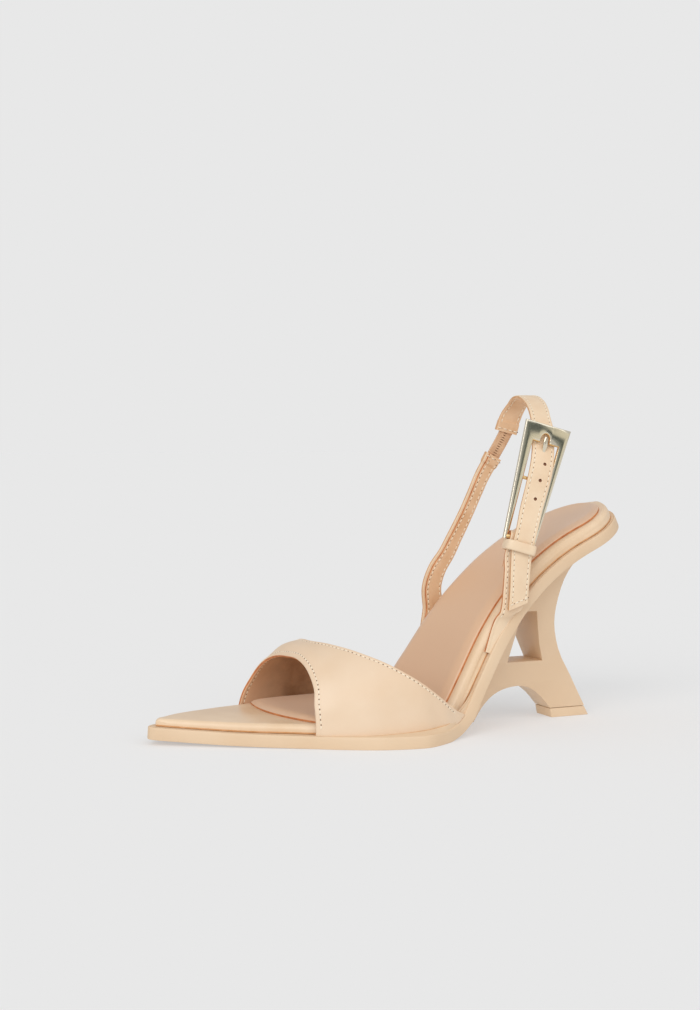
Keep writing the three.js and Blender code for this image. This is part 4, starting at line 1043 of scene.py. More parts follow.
def stitch_tree(size, shift, material, seed):
    """A tree that puts a grain of a given size (length, width, height) at every pitch along a line."""
    tree = bpy.data.node_groups.new("stitch_row", "GeometryNodeTree")
    tree.interface.new_socket("Line", in_out="INPUT", socket_type="NodeSocketGeometry")
    pitch = tree.interface.new_socket("Pitch", in_out="INPUT", socket_type="NodeSocketFloat")
    tree.interface.new_socket("Stitches", in_out="OUTPUT", socket_type="NodeSocketGeometry")
    given = add(tree, "NodeGroupInput")
    made = add(tree, "NodeGroupOutput")
    line = add(tree, "GeometryNodeMeshToCurve", links={"Mesh": given.outputs["Line"]})
    spots = add(
        tree,
        "GeometryNodeCurveToPoints",
        {"mode": "LENGTH"},
        {"Curve": line.outputs["Curve"], "Length": given.outputs["Pitch"]},
    )
    grain = add(tree, "GeometryNodeMeshUVSphere", {"Segments": 8, "Rings": 6, "Radius": 0.5})
    shaped = add(
        tree,
        "GeometryNodeTransform",
        {"Scale": [v * MM for v in size], "Translation": (shift * MM, 0, 0)},
        {"Geometry": grain.outputs["Mesh"]},
    )
    normal = add(
        tree, "GeometryNodeInputNamedAttribute", {"data_type": "FLOAT_VECTOR", "Name": "leather_normal"}
    )
    ahead = add(
        tree, "FunctionNodeAlignRotationToVector", {"axis": "X"}, {"Vector": spots.outputs["Tangent"]}
    )
    flat = add(
        tree,
        "FunctionNodeAlignRotationToVector",
        {"axis": "Z", "pivot_axis": "X"},
        {"Rotation": ahead.outputs["Rotation"], "Vector": normal.outputs["Attribute"]},
    )
    wobble = add(
        tree,
        "FunctionNodeRandomValue",
        {"data_type": "FLOAT_VECTOR", 0: (-0.04, -0.03, -0.09), 1: (0.04, 0.03, 0.09), "Seed": seed},
    )
    turned = add(
        tree,
        "FunctionNodeRotateRotation",
        {"rotation_space": "LOCAL"},
        {"Rotation": flat.outputs["Rotation"], "Rotate By": wobble.outputs["Value"]},
    )
    row = add(
        tree,
        "GeometryNodeInstanceOnPoints",
        links={
            "Points": spots.outputs["Points"],
            "Instance": shaped.outputs["Geometry"],
            "Rotation": turned.outputs["Rotation"],
        },
    )
    real = add(tree, "GeometryNodeRealizeInstances", links={"Geometry": row.outputs["Instances"]})
    painted = add(
        tree, "GeometryNodeSetMaterial", {"Material": material}, {"Geometry": real.outputs["Geometry"]}
    )
    tree.links.new(painted.outputs["Geometry"], made.inputs["Stitches"])
    return tree, pitch.identifier


def stitch_line(name, points, normals, size, shift, material, pitch=STITCH_PITCH, seed=3):
    """One row of grains along points in mm, as a plain mesh object."""
    points = np.asarray(points, float)
    mesh = bpy.data.meshes.new(name + "_line")
    mesh.from_pydata((points * MM).tolist(), [(i, i + 1) for i in range(len(points) - 1)], [])
    normal = mesh.attributes.new("leather_normal", "FLOAT_VECTOR", "POINT")
    normal.data.foreach_set("vector", np.asarray(normals, float).ravel())
    carrier = bpy.data.objects.new(name + "_line", mesh)
    scene.collection.objects.link(carrier)
    tree, pitch_socket = stitch_tree(size, shift, material, seed)
    modifier = carrier.modifiers.new("stitches", "NODES")
    modifier.node_group = tree
    modifier[pitch_socket] = pitch * MM
    carrier.update_tag()
    depsgraph = bpy.context.evaluated_depsgraph_get()
    made = bpy.data.meshes.new_from_object(carrier.evaluated_get(depsgraph))
    bpy.data.objects.remove(carrier)
    for name_left in [a.name for a in made.attributes if a.name == "leather_normal"]:
        made.attributes.remove(made.attributes[name_left])
    made.polygons.foreach_set("use_smooth", np.ones(len(made.polygons), bool))
    piece = bpy.data.objects.new(name, made)
    scene.collection.objects.link(piece)
    return piece


def join(name, pieces):
    """Several meshes as one piece."""
    with bpy.context.temp_override(
        active_object=pieces[0], selected_editable_objects=pieces, object=pieces[0]
    ):
        bpy.ops.object.join()
    pieces[0].name = name
    pieces[0].data.name = name
    return pieces[0]


def stitch_rows(name, lines, slot, pitch=STITCH_PITCH, thread=cream_thread, lift=0.1, hole=0.5):
    """Threads and needle holes along several lines of (points, normals), each as one piece."""
    threads = []
    holes = []
    size = (0.8 * pitch, THREAD_WIDE, 0.4)
    for k, (points, normals) in enumerate(lines):
        raised = np.asarray(points) + lift * np.asarray(normals)
        threads.append(stitch_line(f"{name}_t{k}", raised, normals, size, 0, thread, pitch, 11 + k))
        hole_size = (hole, hole, 0.16)
        holes.append(
            stitch_line(f"{name}_h{k}", points, normals, hole_size, pitch / 2, hole_shade, pitch, 31 + k)
        )
    settle(join(name + "_threads", threads), slot)
    settle(join(name + "_needle_holes", holes), slot)


# %% [markdown]
# The vamp's two edges are topstitched about two millimetres in. The rows follow the grid columns where the
# wall was given its shallow channel, so the threads sit in that channel as real ones do.

# %% Stitch the vamp
CHANNEL = 5  # the column of EDGE_ROLL that is the channel


def vamp_line(column, points, facing):
    """A row over the vamp on one grid column, kept clear of the sole."""
    inside = slice(3, -3)
    normals = facing * vamp_inward[inside, column]
    return points[inside, column], normals


stitch_rows(
    "vamp_stitching",
    [
        vamp_line(CHANNEL, vamp_outer, -1),
        vamp_line(-1 - CHANNEL, vamp_outer, -1),
        vamp_line(CHANNEL, vamp_inner, 1),
        vamp_line(-1 - CHANNEL, vamp_inner, 1),
    ],
    "vamp_leather",
    pitch=2.1,
    lift=0.02,
    hole=0.66,
)

# %% [markdown]
# The straps are long bands of doubled leather. Each is a table of places, widths and turns, joined by the
# same curve that the solids use, so that the dressed strap stays inside its solid's place. The frame of the
# buckle has three axes of its own: across it, up along it, and out of its face.

# %% Strap tables
STRAP_WIDTH = 10
STRAP_THICK = 1.6
STRAP_LEDGE = 0.3
CUFF_THICK = 3
TIP_SLANT = 1.9
LOOP_ABOVE_SEAT = 57.6
LOOP_TOP = HEEL_RISE + LOOP_ABOVE_SEAT
STRAP_BURY = 14
FRAME_HEIGHT = 53.4
FRAME_TOP = 21.2
FRAME_BOTTOM = 15
FRAME_OPENING = 11.5
OPENING_SHIFT = 0.25
OPENING_FLARE = 0.75
FRAME_TOP_BAR = 8.4
FRAME_BOTTOM_BAR = 1.2
FRAME_THICK = 2
NOTCH_RADIUS = 2.2
NOTCH_REACH = 2
PIVOT_HEIGHT = 27
PIVOT_RADIUS = 0.75
PIVOT_BACK = 1
PRONG_RADIUS = 0.65
KEEPER_WIDE = 4.4
KEEPER_THICK = 1.2
KEEPER_DROP = 3.6
KEEPER_ROOM = 1.22
KEEPER_SHIFT = 0.6
FRAME_LEAN, FRAME_TURN, FRAME_TUCK = 16, 12, 4
# Columns of the strap tables: across, along, up, wide, turn, cuff
LOWER_STRAP = [
    (0.37, 0.6895, 0.359, 1.18, 0, 0),
    (0.372, 0.6933, 0.427, 1.1, 0, 0),
    (0.373, 0.695, 0.488, 1.02, 4, 0),
]
FRAME_FOOT = (0.357, 0.7074, 0.573, 1, 0, 0)
SLING_TIP = [
    (0.401, 0.7002, 0.4785, 0.94, 4, 0),
    (0.4, 0.6984, 0.429, 0.93, 0, 0),
    (0.399, 0.696, 0.3755, 0.92, 0, 0),
]
SLING_LOOP = [
    (0.267, 0.771, 0.948, 1, -6, 0),
    (0.22, 0.777, 0.966, 1, -4, 0),
    (0.149, 0.784, 0.985, 1, 0, 0),
    (0.06, 0.7905, 0.998, 1, 0, 0),
    (-0.036, 0.797, 0.995, 1, 0, 0),
    (-0.107, 0.802, 0.9765, 1, 4, 0),
    (-0.145, 0.7995, 0.9525, 1, 8, 0),
    (-0.16, 0.7935, 0.926, 1.02, 10, 0),
    (-0.1625, 0.7925, 0.919, 1.02, 10, 1),
    (-0.171, 0.788, 0.89, 1.04, 10, 1),
]
MEDIAL_STRAP = [
    (-0.309, 0.6455, 0.332, 1.02, 0, 0),
    (-0.306, 0.642, 0.4, 0.98, 0, 0),
    (-0.293, 0.652, 0.4575, 0.92, 0, 0),
    (-0.278, 0.671, 0.507, 0.84, 0, 0),
    (-0.268, 0.6855, 0.5525, 0.79, 0, 0),
    (-0.25, 0.709, 0.6285, 0.74, 0, 0),
    (-0.234, 0.727, 0.6945, 0.72, 2, 0),
    (-0.221, 0.7425, 0.7515, 0.74, 4, 0),
    (-0.213, 0.7535, 0.783, 0.76, 4, 0),
    (-0.211, 0.756, 0.79, 0.8, 4, 1),
    (-0.203, 0.765, 0.8155, 0.83, 6, 1),
]
STRAP_FOOT = 0.68
MEDIAL_FOOT = 0.64
FOLD_RADIUS = FRAME_BOTTOM_BAR + SEAM + STRAP_THICK / 2
LAYER_STEP = STRAP_THICK + SEAM
BEHIND_BAR = -(FRAME_THICK / 2 + SEAM + STRAP_THICK / 2)
WINDOW_TOP = FRAME_HEIGHT - FRAME_BOTTOM_BAR - FRAME_TOP_BAR
CROSSING = WINDOW_TOP - 4
FRAME_END = FRAME_HEIGHT - FRAME_BOTTOM_BAR


def turned(axis, degrees):
    """A rotation matrix about one axis."""
    return np.array(Matrix.Rotation(math.radians(degrees), 3, axis))


frame_turn = turned("Z", -FRAME_TURN) @ turned("Y", -FRAME_TUCK) @ turned("X", -FRAME_LEAN)
AXIS_W, AXIS_A, AXIS_N = frame_turn[:, 1], frame_turn[:, 2], frame_turn[:, 0]


def strap_row(row):
    """One row of a strap's table as a point, a direction across, a width and a thickness."""
    across, along, up, wide, turn, cuff = row
    angle = math.radians(turn)
    at = np.array([BALL_WIDTH * across, run_y(along), LOOP_TOP * up])
    side = np.array([math.sin(angle), math.cos(angle), 0])
    return at, side, STRAP_WIDTH * wide, CUFF_THICK if cuff else STRAP_THICK


FRAME_ORIGIN = strap_row(FRAME_FOOT)[0]


def frame_at(w, a, n):
    """A point in the buckle's own axes."""
    return FRAME_ORIGIN + w * AXIS_W + a * AXIS_A + n * AXIS_N


def frame_row(w, a, n, wide=1):
    """A strap's row given in the buckle's axes."""
    return frame_at(w, a, n), AXIS_W, STRAP_WIDTH * wide, STRAP_THICK


FOOT_PRESS = 0.4  # a strap's foot is pressed this far into the footbed's soft rim


def strap_foot(along, side):
    """Where a strap stands on the outsole's ledge."""
    half = lateral(along) if side > 0 else medial(along)
    x = BALL_WIDTH * half - side * (STRAP_LEDGE + FOOT_PRESS + STRAP_THICK / 2)
    h = OUTSOLE_THICK + SEAM
    return deck(deck_over(x, run_y(along), h), x, h)


# %% [markdown]
# The curve through a strap's rows is a centripetal Catmull-Rom curve. It passes through every row, and where
# rows crowd together it doesn't loop or overshoot, as an even one would.

# %% Curve through rows


def catmull(points, t):
    """A point of the centripetal curve through points, t from 0 to 1 over all of its spans."""
    count = len(points)
    place = (count - 1) * t
    i = min(int(place), count - 2)
    weight = place - i
    p1, p2 = points[i], points[i + 1]
    p0 = points[i - 1] if i > 0 else 2 * points[0] - points[1]
    p3 = points[i + 2] if i + 2 < count else 2 * points[-1] - points[-2]
    gaps = [np.linalg.norm(b - a) ** 0.5 for a, b in ((p0, p1), (p1, p2), (p2, p3))]
    d1 = gaps[1] if gaps[1] > 1e-4 else 1.0
    d0 = gaps[0] if gaps[0] > 1e-4 else d1
    d2 = gaps[2] if gaps[2] > 1e-4 else d1
    m1 = ((p1 - p0) / d0 - (p2 - p0) / (d0 + d1) + (p2 - p1) / d1) * d1
    m2 = ((p2 - p1) / d1 - (p3 - p1) / (d1 + d2) + (p3 - p2) / d2) * d1
    square, cube = weight**2, weight**3
    start = (2 * cube - 3 * square + 1) * p1 + (cube - 2 * square + weight) * m1
    return start + (3 * square - 2 * cube) * p2 + (cube - square) * m2


def follow(rows, per_row):
    """The middle, the directions across, ahead and out, and the half sizes at every step along a strap."""
    at = [row[0] for row in rows]
    spans = len(rows) - 1
    steps = per_row * spans
    found = []
    for i in range(steps + 1):
        t = i / steps
        span = min(i // per_row, spans - 1)
        share = i / per_row - span
        a, b = rows[span], rows[span + 1]
        ahead = catmull(at, min(t + 1e-4, 1)) - catmull(at, max(t - 1e-4, 0))
        ahead = ahead / np.linalg.norm(ahead)
        side = a[1] * (1 - share) + b[1] * share
        side = side - ahead * side.dot(ahead)
        side = side / np.linalg.norm(side)
        wide = a[2] * (1 - share) + b[2] * share
        thick = a[3] * (1 - share) + b[3] * share
        found.append((catmull(at, t), side, ahead, np.cross(side, ahead), wide / 2, thick / 2))
    return [np.array(column) for column in zip(*found)]


# %% [markdown]
# A strap's section is not a plain rectangle. Its corners are rubbed round, a shallow channel runs where the
# thread pulls the leather down, and the middle swells a little between the channels. The thin sides are
# painted brown, the grain side shows calf and the other side shows lining.

# %% Strap builder
STRAP_MARGIN = 1.35  # from the strap's side to its stitches
SEAT_DEPTH = 0.6  # a strap's foot ends this far below the outsole's top
SECTION_STOPS = [
    (0, -0.34), (0.1, -0.16), (0.3, -0.04), (0.6, 0), (1.0, -0.01), (1.35, -0.13), (1.7, -0.01), (2.3, 0.05)
]


def section_places(half_wide, half_thick):
    """Places across and heights of one face of a strap, from one side to the other."""
    fit = min(1.0, half_wide / 3.2)
    left = [(-half_wide + fit * d, half_thick + h) for d, h in SECTION_STOPS]
    middle = [(0, half_thick + 0.09)]
    right = [(-u, v) for u, v in reversed(left)]
    return np.array(left + middle + right)


def seated(rings):
    """The rings of a strap with what lies below the outsole's top lifted to just under it."""
    depth = OUTSOLE_THICK - SEAT_DEPTH
    lifted = []
    for ring in rings:
        surface = deck(deck_over(ring[:, 0], ring[:, 1], depth), ring[:, 0], depth)[:, 2]
        under = ring[:, 2] < surface
        if under.all():
            lifted = []
        ring = ring.copy()
        ring[under, 2] = surface[under]
        lifted.append(ring)
    return lifted


def make_strap(name, rows, per_row, materials, slant=0.0, slant_run=6.0, foot=False):
    """A strap along rows. materials: the face that looks out, the other, the sides. Returns its frames."""
    middle, side, ahead, out, half_wide, half_thick = follow(rows, per_row)
    walked = np.concatenate([[0], np.cumsum(np.linalg.norm(np.diff(middle, axis=0), axis=1))])
    rings = []
    for i in range(len(middle)):
        face = section_places(half_wide[i], half_thick[i])
        u = np.concatenate([face[:, 0], face[::-1, 0]])
        v = np.concatenate([face[:, 1], -face[::-1, 1]])
        slip = slant * np.clip(1 - (walked[-1] - walked[i]) / slant_run, 0, 1) * u / half_wide[i]
        rings.append(middle[i] + np.outer(u, side[i]) + np.outer(v, out[i]) - np.outer(slip, ahead[i]))
    rings = seated(rings) if foot else rings
    points, faces, places = skin(rings)
    across = len(rings[0]) // 2
    slots = [
        2 if j is None or j in (across - 1, 2 * across - 1) else (0 if j < across else 1) for j in places
    ]
    piece = make_piece(name, points, faces, materials, slots, uv=section_uv(rings), sharp=50)
    return piece, {
        "middle": middle, "side": side, "ahead": ahead, "out": out,
        "half_wide": half_wide, "half_thick": half_thick,
        "walked": walked, "slant": slant, "slant_run": slant_run,
    }


def strap_line(strap, edge_side, face, start=0.0, end=0.0, margin=STRAP_MARGIN):
    """A stitch line along one edge (-1 or 1) of one face (1 out, -1 in), start and end mm from the ends."""
    walked = strap["walked"]
    keep = (walked >= start) & (walked <= walked[-1] - end)
    u = edge_side * (strap["half_wide"][keep] - margin)
    v = face * (strap["half_thick"][keep] - 0.12)
    slip = strap["slant"] * np.clip(1 - (walked[-1] - walked[keep]) / strap["slant_run"], 0, 1)
    slip = slip * u / strap["half_wide"][keep]
    out = strap["out"][keep]
    points = strap["middle"][keep] + u[:, None] * strap["side"][keep] + v[:, None] * out
    return points - slip[:, None] * strap["ahead"][keep], face * out


def cross_line(strap, from_end, face, margin=1.2, slanted=False):
    """A stitch line across a strap, from_end mm before its far end, or after its start when negative."""
    walked = strap["walked"]
    place = walked[-1] - from_end if from_end > 0 else -from_end
    i = int(np.argmin(abs(walked - place)))
    u = np.linspace(-1, 1, 9) * (strap["half_wide"][i] - margin)
    v = face * (strap["half_thick"][i] + 0.02)
    slip = strap["slant"] * u / strap["half_wide"][i] if slanted else 0 * u
    points = strap["middle"][i] + np.outer(u, strap["side"][i]) + v * strap["out"][i]
    return points - np.outer(slip, strap["ahead"][i]), np.tile(face * strap["out"][i], (len(u), 1))


# %% [markdown]
# The lower strap comes up from under the footbed, passes round the bottom bar of the buckle and goes down
# again behind itself. Its foot runs on into the sole, where the cement holds it.

# %% Lower strap


def layer_out(drop):
    """How far the lower strap's outer layer stands out of the frame's plane, below the bottom bar."""
    return FOLD_RADIUS * (1 - 0.075 * drop)


def lower_strap_rows():
    """The rows of the lower strap, from its buried foot to the end of its back layer."""
    _, side, wide, thick = strap_row(LOWER_STRAP[0])
    foot = strap_foot(STRAP_FOOT, 1)
    buried = foot + np.array([0, -0.34, -1]) * STRAP_BURY
    fold = [
        frame_row(0, FOLD_RADIUS * math.sin(math.radians(a)), FOLD_RADIUS * math.cos(math.radians(a)))
        for a in (0, 30, 60, 90, 120, 150, 180)
    ]
    rows = [(buried, side, wide, thick), (foot, side, wide, thick)]
    rows += [strap_row(row) for row in LOWER_STRAP]
    rows += [frame_row(0, -drop, layer_out(drop)) for drop in (8, 4)]
    rows += fold
    rows += [
        frame_row(0.06 * drop, -drop, layer_out(drop) - LAYER_STEP, 1 - 0.008 * drop) for drop in (4, 8, 13)
    ]
    return rows


def make_lower_strap():
    """The folded strap that carries the buckle."""
    strap, frames = make_strap(
        "lower_strap", lower_strap_rows(), 20, [strap_calf, lining_pig, edge_brown], foot=True
    )
    settle(strap, "strap_leather", "buckle_strap")
    lines = [
        strap_line(frames, edge_side, 1, STRAP_BURY + clear, 26) for edge_side, clear in ((-1, 3), (1, 11))
    ]
    stitch_rows("lower_strap_stitching", lines, "strap_leather")
    return frames


make_lower_strap()

# %% [markdown]
# The sling is one long strap. It starts in a cuff over the elastic on the inner side, arches over where the
# heel of the foot goes, passes behind the buckle's top bar and out through its window, and ends in a slanted
# tip below the keeper. Three punched holes show in the window.

# %% Sling
SLING_ON_BUCKLE = [
    (-2.4, FRAME_END, BEHIND_BAR - 0.35, 1),
    (-1.1, FRAME_END - FRAME_TOP_BAR / 2, BEHIND_BAR, 1.02),
    (0.3, WINDOW_TOP, BEHIND_BAR + 0.1, 1.04),
    (0.65, CROSSING + 1.5, -1, 1.04),
    (0.8, CROSSING - 1, 0.2, 1.04),
    (0.95, CROSSING - 4, 1.3, 1.04),
    (1.1, PIVOT_HEIGHT + 4, 2.4, 1.05),
    (1.2, PIVOT_HEIGHT - 1, 2.5, 1.05),
    (1, PIVOT_HEIGHT * 0.5, FOLD_RADIUS + 0.3 * LAYER_STEP, 1),
    (1, PIVOT_HEIGHT * 0.2, FOLD_RADIUS + 0.95 * LAYER_STEP, 0.97),
    (1, 0, FOLD_RADIUS + LAYER_STEP, 0.96),
    (1.2, -KEEPER_DROP, layer_out(KEEPER_DROP) + LAYER_STEP, 0.95),
]
HOLE_PLACES = [(2.1, 34.5), (1.57, 27.15), (1.5, 18.7)]  # across and up the buckle
HOLE_RADIUS = 0.82
HOLE_DEPTH = 0.9


def sling_rows():
    """The sling's rows from its cuff to its cut end."""
    rows = [strap_row(row) for row in reversed(SLING_LOOP)]
    rows += [frame_row(*row) for row in SLING_ON_BUCKLE]
    return rows + [strap_row(row) for row in SLING_TIP]


def sling_face_at(frames, w, a):
    """The place on the sling's grain side that covers a point of the buckle's plane, and its directions."""
    local = frames["middle"] - FRAME_ORIGIN
    up = local @ AXIS_A
    near = np.where(abs(local @ AXIS_N) < 12, abs(up - a), 1e9)
    i = int(np.argmin(near[: len(near) - 20]))
    across = w - local[i] @ AXIS_W
    middle = frames["middle"][i] + (a - up[i]) * AXIS_A + across * frames["side"][i]
    return middle - (frames["half_thick"][i] + 0.05) * frames["out"][i], frames["out"][i]


def punch(piece, spots, radius, depth, material):
    """Cuts blind round holes into a piece at spots of (place, direction in)."""
    cutter_mesh = bpy.data.meshes.new("punch")
    shape = bmesh.new()
    for place, inward in spots:
        turn = Vector(inward).to_track_quat("Z", "Y").to_matrix().to_4x4()
        start = Matrix.Translation(Vector(np.asarray(place) * MM)) @ turn
        bmesh.ops.create_cone(
            shape, cap_ends=True, segments=28, radius1=radius * MM, radius2=radius * MM * 0.85,
            depth=2 * depth * MM, matrix=start,
        )
    shape.to_mesh(cutter_mesh)
    shape.free()
    cutter_mesh.materials.append(material)
    cutter = bpy.data.objects.new("punch", cutter_mesh)
    scene.collection.objects.link(cutter)
    piece.data.materials.append(material)
    modifier = piece.modifiers.new("punch", "BOOLEAN")
    modifier.operation = "DIFFERENCE"
    modifier.solver = "EXACT"
    modifier.object = cutter
    modifier.material_mode = "TRANSFER"
    depsgraph = bpy.context.evaluated_depsgraph_get()
    cut = bpy.data.meshes.new_from_object(piece.evaluated_get(depsgraph))
    piece.modifiers.clear()
    piece.data = cut
    cut.name = piece.name
    bpy.data.objects.remove(cutter)


def make_sling():
    """The sling with its punched holes and its stitches."""
    strap, frames = make_strap(
        "sling", sling_rows(), 7, [lining_pig, strap_calf, edge_tan], slant=TIP_SLANT
    )
    spots = [sling_face_at(frames, w, a) for w, a in HOLE_PLACES]
    punch(strap, spots, HOLE_RADIUS, HOLE_DEPTH, punched_leather)
    settle(strap, "strap_leather", "sling_strap")
    lines = [strap_line(frames, edge_side, -1, 5, 2.4) for edge_side in (-1, 1)]
    lines += [strap_line(frames, edge_side, 1, 5, 60) for edge_side in (-1, 1)]
    lines += [
        cross_line(frames, 2.0, -1, slanted=True), cross_line(frames, -1.6, -1), cross_line(frames, -1.6, 1)
    ]
    stitch_rows("sling_stitching", lines, "strap_leather")
    return frames


make_sling()

# %% [markdown]
# The inner strap rises from the sole on the inner side and meets the elastic in a cuff of its own. From the
# camera its lining side shows, with the paler grain leather turned over its front edge.

# %% Inner strap
TURNED_EDGE = 1.5
LINING_LIFT = 0.22


def make_inner_strap():
    """The inner strap, its raised lining panel and its stitches."""
    rows = [strap_row(row) for row in MEDIAL_STRAP]
    foot = strap_foot(MEDIAL_FOOT, -1)
    _, side, wide, thick = rows[0]
    buried = foot + np.array([0, -0.2, -1]) * STRAP_BURY
    rows = [(buried, side, wide, thick), (foot, side, wide, thick)] + rows
    strap, frames = make_strap("inner_strap", rows, 7, [strap_calf, strap_calf, edge_tan], foot=True)
    settle(strap, "strap_leather", "medial_strap")
    rings = []
    for i in range(len(frames["middle"])):
        half = frames["half_wide"][i]
        low = frames["half_thick"][i] - 0.3
        high = frames["half_thick"][i] + LINING_LIFT
        left, right = -half + TURNED_EDGE, half - 0.35
        span = np.array([
            left - 0.3, left + 0.15, left + 0.5, left + 1.1, left + 1.5,
            0, right - 1.3, right - 0.8, right - 0.1, right,
        ])
        height = np.array(
            [high - 0.3, high, high, high - 0.12, high, high + 0.05, high - 0.1, high, high, high - 0.15]
        )
        u = np.concatenate([span, [right, left]])
        v = np.concatenate([height, [low, low]])
        rings.append(frames["middle"][i] + np.outer(u, frames["side"][i]) + np.outer(v, frames["out"][i]))
    points, faces, places = skin(seated(rings))
    last = len(rings[0]) - 1
    slots = [1 if j is None or j in (0, last, last - 2) else 0 for j in places]
    panel = make_piece(
        "inner_strap_lining", points, faces, [lining_pig, edge_brown], slots, uv=section_uv(rings), sharp=50
    )
    settle(panel, "strap_leather")
    start = STRAP_BURY + 4
    front = strap_line(frames, -1, 1, start, 4, margin=TURNED_EDGE + 1.1)
    back = strap_line(frames, 1, 1, start, 4, margin=1.25)
    lines = [(points + 0.25 * normals, normals) for points, normals in (front, back)]
    lines += [strap_line(frames, edge_side, -1, start, 4) for edge_side in (-1, 1)]
    over, facing = cross_line(frames, 1.6, 1)
    lines += [(over + 0.2 * facing, facing), cross_line(frames, 1.6, -1)]
    stitch_rows("inner_strap_stitching", lines, "strap_leather", lift=0.12)
    return frames


make_inner_strap()

# %% [markdown]
# A short piece of covered elastic joins the two cuffs. It was sewn while stretched, so it gathers into ridges
# across its width when it relaxes.

# %% Elastic
ELASTIC_WIDTH = 6.4
ELASTIC_THICK = 1
GATHER_MM = 1.15
elastic_leather = calf_leather("elastic_cover", "#E2BC97", "#D2A680", 0.55, grain=0.3, cloud_mm=5)


def make_elastic():
    """The gathered elastic between the cuffs, with short dark marks down its middle that paint the shade in
    its tucks.
    """
    sling_at = [row[0] for row in sling_rows()[:2]]
    inner_at = [strap_row(row)[0] for row in MEDIAL_STRAP[-2:]]
    sling_side = sling_rows()[0][1]
    inner_side = strap_row(MEDIAL_STRAP[-1])[1]
    into_sling = (sling_at[1] - sling_at[0]) / np.linalg.norm(sling_at[1] - sling_at[0])
    into_inner = (inner_at[0] - inner_at[1]) / np.linalg.norm(inner_at[0] - inner_at[1])
    size = (ELASTIC_WIDTH, ELASTIC_THICK)
    rows = [
        (sling_at[0] + 2.5 * into_sling, sling_side, *size),
        (sling_at[0], sling_side, *size),
        (inner_at[1], inner_side, *size),
        (inner_at[1] + 2.5 * into_inner, inner_side, *size),
    ]
    middle, side, ahead, out, half_wide, half_thick = follow(rows, 26)
    walked = np.concatenate([[0], np.cumsum(np.linalg.norm(np.diff(middle, axis=0), axis=1))])
    rings = []
    for i in range(len(middle)):
        ripple = math.sin(2 * math.pi * walked[i] / GATHER_MM)
        wide = half_wide[i] + 0.12 * ripple
        u = np.array([-1, -0.93, -0.75, -0.45, -0.2, 0, 0.2, 0.45, 0.75, 0.93, 1])
        bulge = np.array([0.15, 0.5, 0.8, 1, 0.8, 0.35, 0.8, 1, 0.8, 0.5, 0.15])
        v = half_thick[i] * np.minimum(bulge + 0.4, 1) + 0.16 * ripple * bulge
        u_all = wide * np.concatenate([u, u[::-1]])
        v_all = np.concatenate([v, -v[::-1]])
        rings.append(middle[i] + np.outer(u_all, side[i]) + np.outer(v_all, out[i]))
    points, faces, _ = skin(rings)
    band = make_piece("elastic_band", points, faces, [elastic_leather], uv=section_uv(rings), sharp=80)
    settle(band, "elastic", "elastic")
    # Painted shade: short dark grains stand for the shade in the tucks of the gathers.
    keep = slice(20, -20)
    tucks = []
    for k, face in enumerate((1, -1)):
        place = middle[keep] + face * 0.42 * out[keep]
        size = (0.3, 2.3, 0.3)
        tucks.append(
            stitch_line(f"tucks_{k}", place, face * out[keep], size, 0, hole_shade, GATHER_MM, 51 + k)
        )
    settle(join("elastic_tuck_shade", tucks), "elastic")


make_elastic()

# %% [markdown]
# The keeper is a narrow leather loop that holds the strap's end down. It is a closed band round the buckle's
# long axis, so each ring of its mesh is a section of the band at one place round the loop.

# %% Keeper
KEEPER_SNUG = 0.35  # the leather draws in round the straps


def rounded_loop(half_n, half_w, radius, steps):
    """Points and outward directions round a rounded rectangle."""
    found = []
    for sign_n, sign_w, start in ((1, 1, 0), (-1, 1, 90), (-1, -1, 180), (1, -1, 270)):
        for angle in np.linspace(start, start + 90, steps):
            cos, sin = math.cos(math.radians(angle)), math.sin(math.radians(angle))
            place = (sign_n * (half_n - radius) + radius * cos, sign_w * (half_w - radius) + radius * sin)
            found.append((place, (cos, sin)))
    return found


def make_keeper():
    """The keeper's band, softly domed."""
    low = -FOLD_RADIUS - STRAP_THICK / 2
    high = layer_out(KEEPER_DROP - KEEPER_WIDE / 2) + LAYER_STEP + STRAP_THICK / 2 + 1.5 * SEAM
    half = KEEPER_ROOM * STRAP_WIDTH / 2 - KEEPER_SNUG
    centre_n = (low + high) / 2
    wide = KEEPER_WIDE / 2
    profile = [(-wide, 0.1), (-wide, 0.75), (-wide + 0.25, 1.0), (-wide + 0.9, 1.12), (0, 1.2)]
    profile += [(-a, t) for a, t in reversed(profile[:-1])]
    profile += [(wide - 0.3, 0), (-wide + 0.3, 0)]
    rings = []
    for (n, w), (dn, dw) in rounded_loop((high - low) / 2, half, KEEPER_THICK + SEAM, 7):
        ring = [
            frame_at(
                w + dw * t * KEEPER_THICK / 1.2 + KEEPER_SHIFT, a - KEEPER_DROP,
                centre_n + n + dn * t * KEEPER_THICK / 1.2,
            )
            for a, t in profile
        ]
        rings.append(ring)
    rings.append(rings[0])
    points, faces, _ = skin(rings, capped=False)
    band = make_piece("keeper_band", points, faces, [strap_calf], uv=None, sharp=50)
    weld(band)
    settle(band, "strap_leather", "keeper")


def weld(piece, distance=0.001):
    """Merges points of a piece that lie in the same place."""
    shape = bmesh.new()
    shape.from_mesh(piece.data)
    bmesh.ops.remove_doubles(shape, verts=shape.verts, dist=distance * MM)
    shape.to_mesh(piece.data)
    shape.free()


make_keeper()
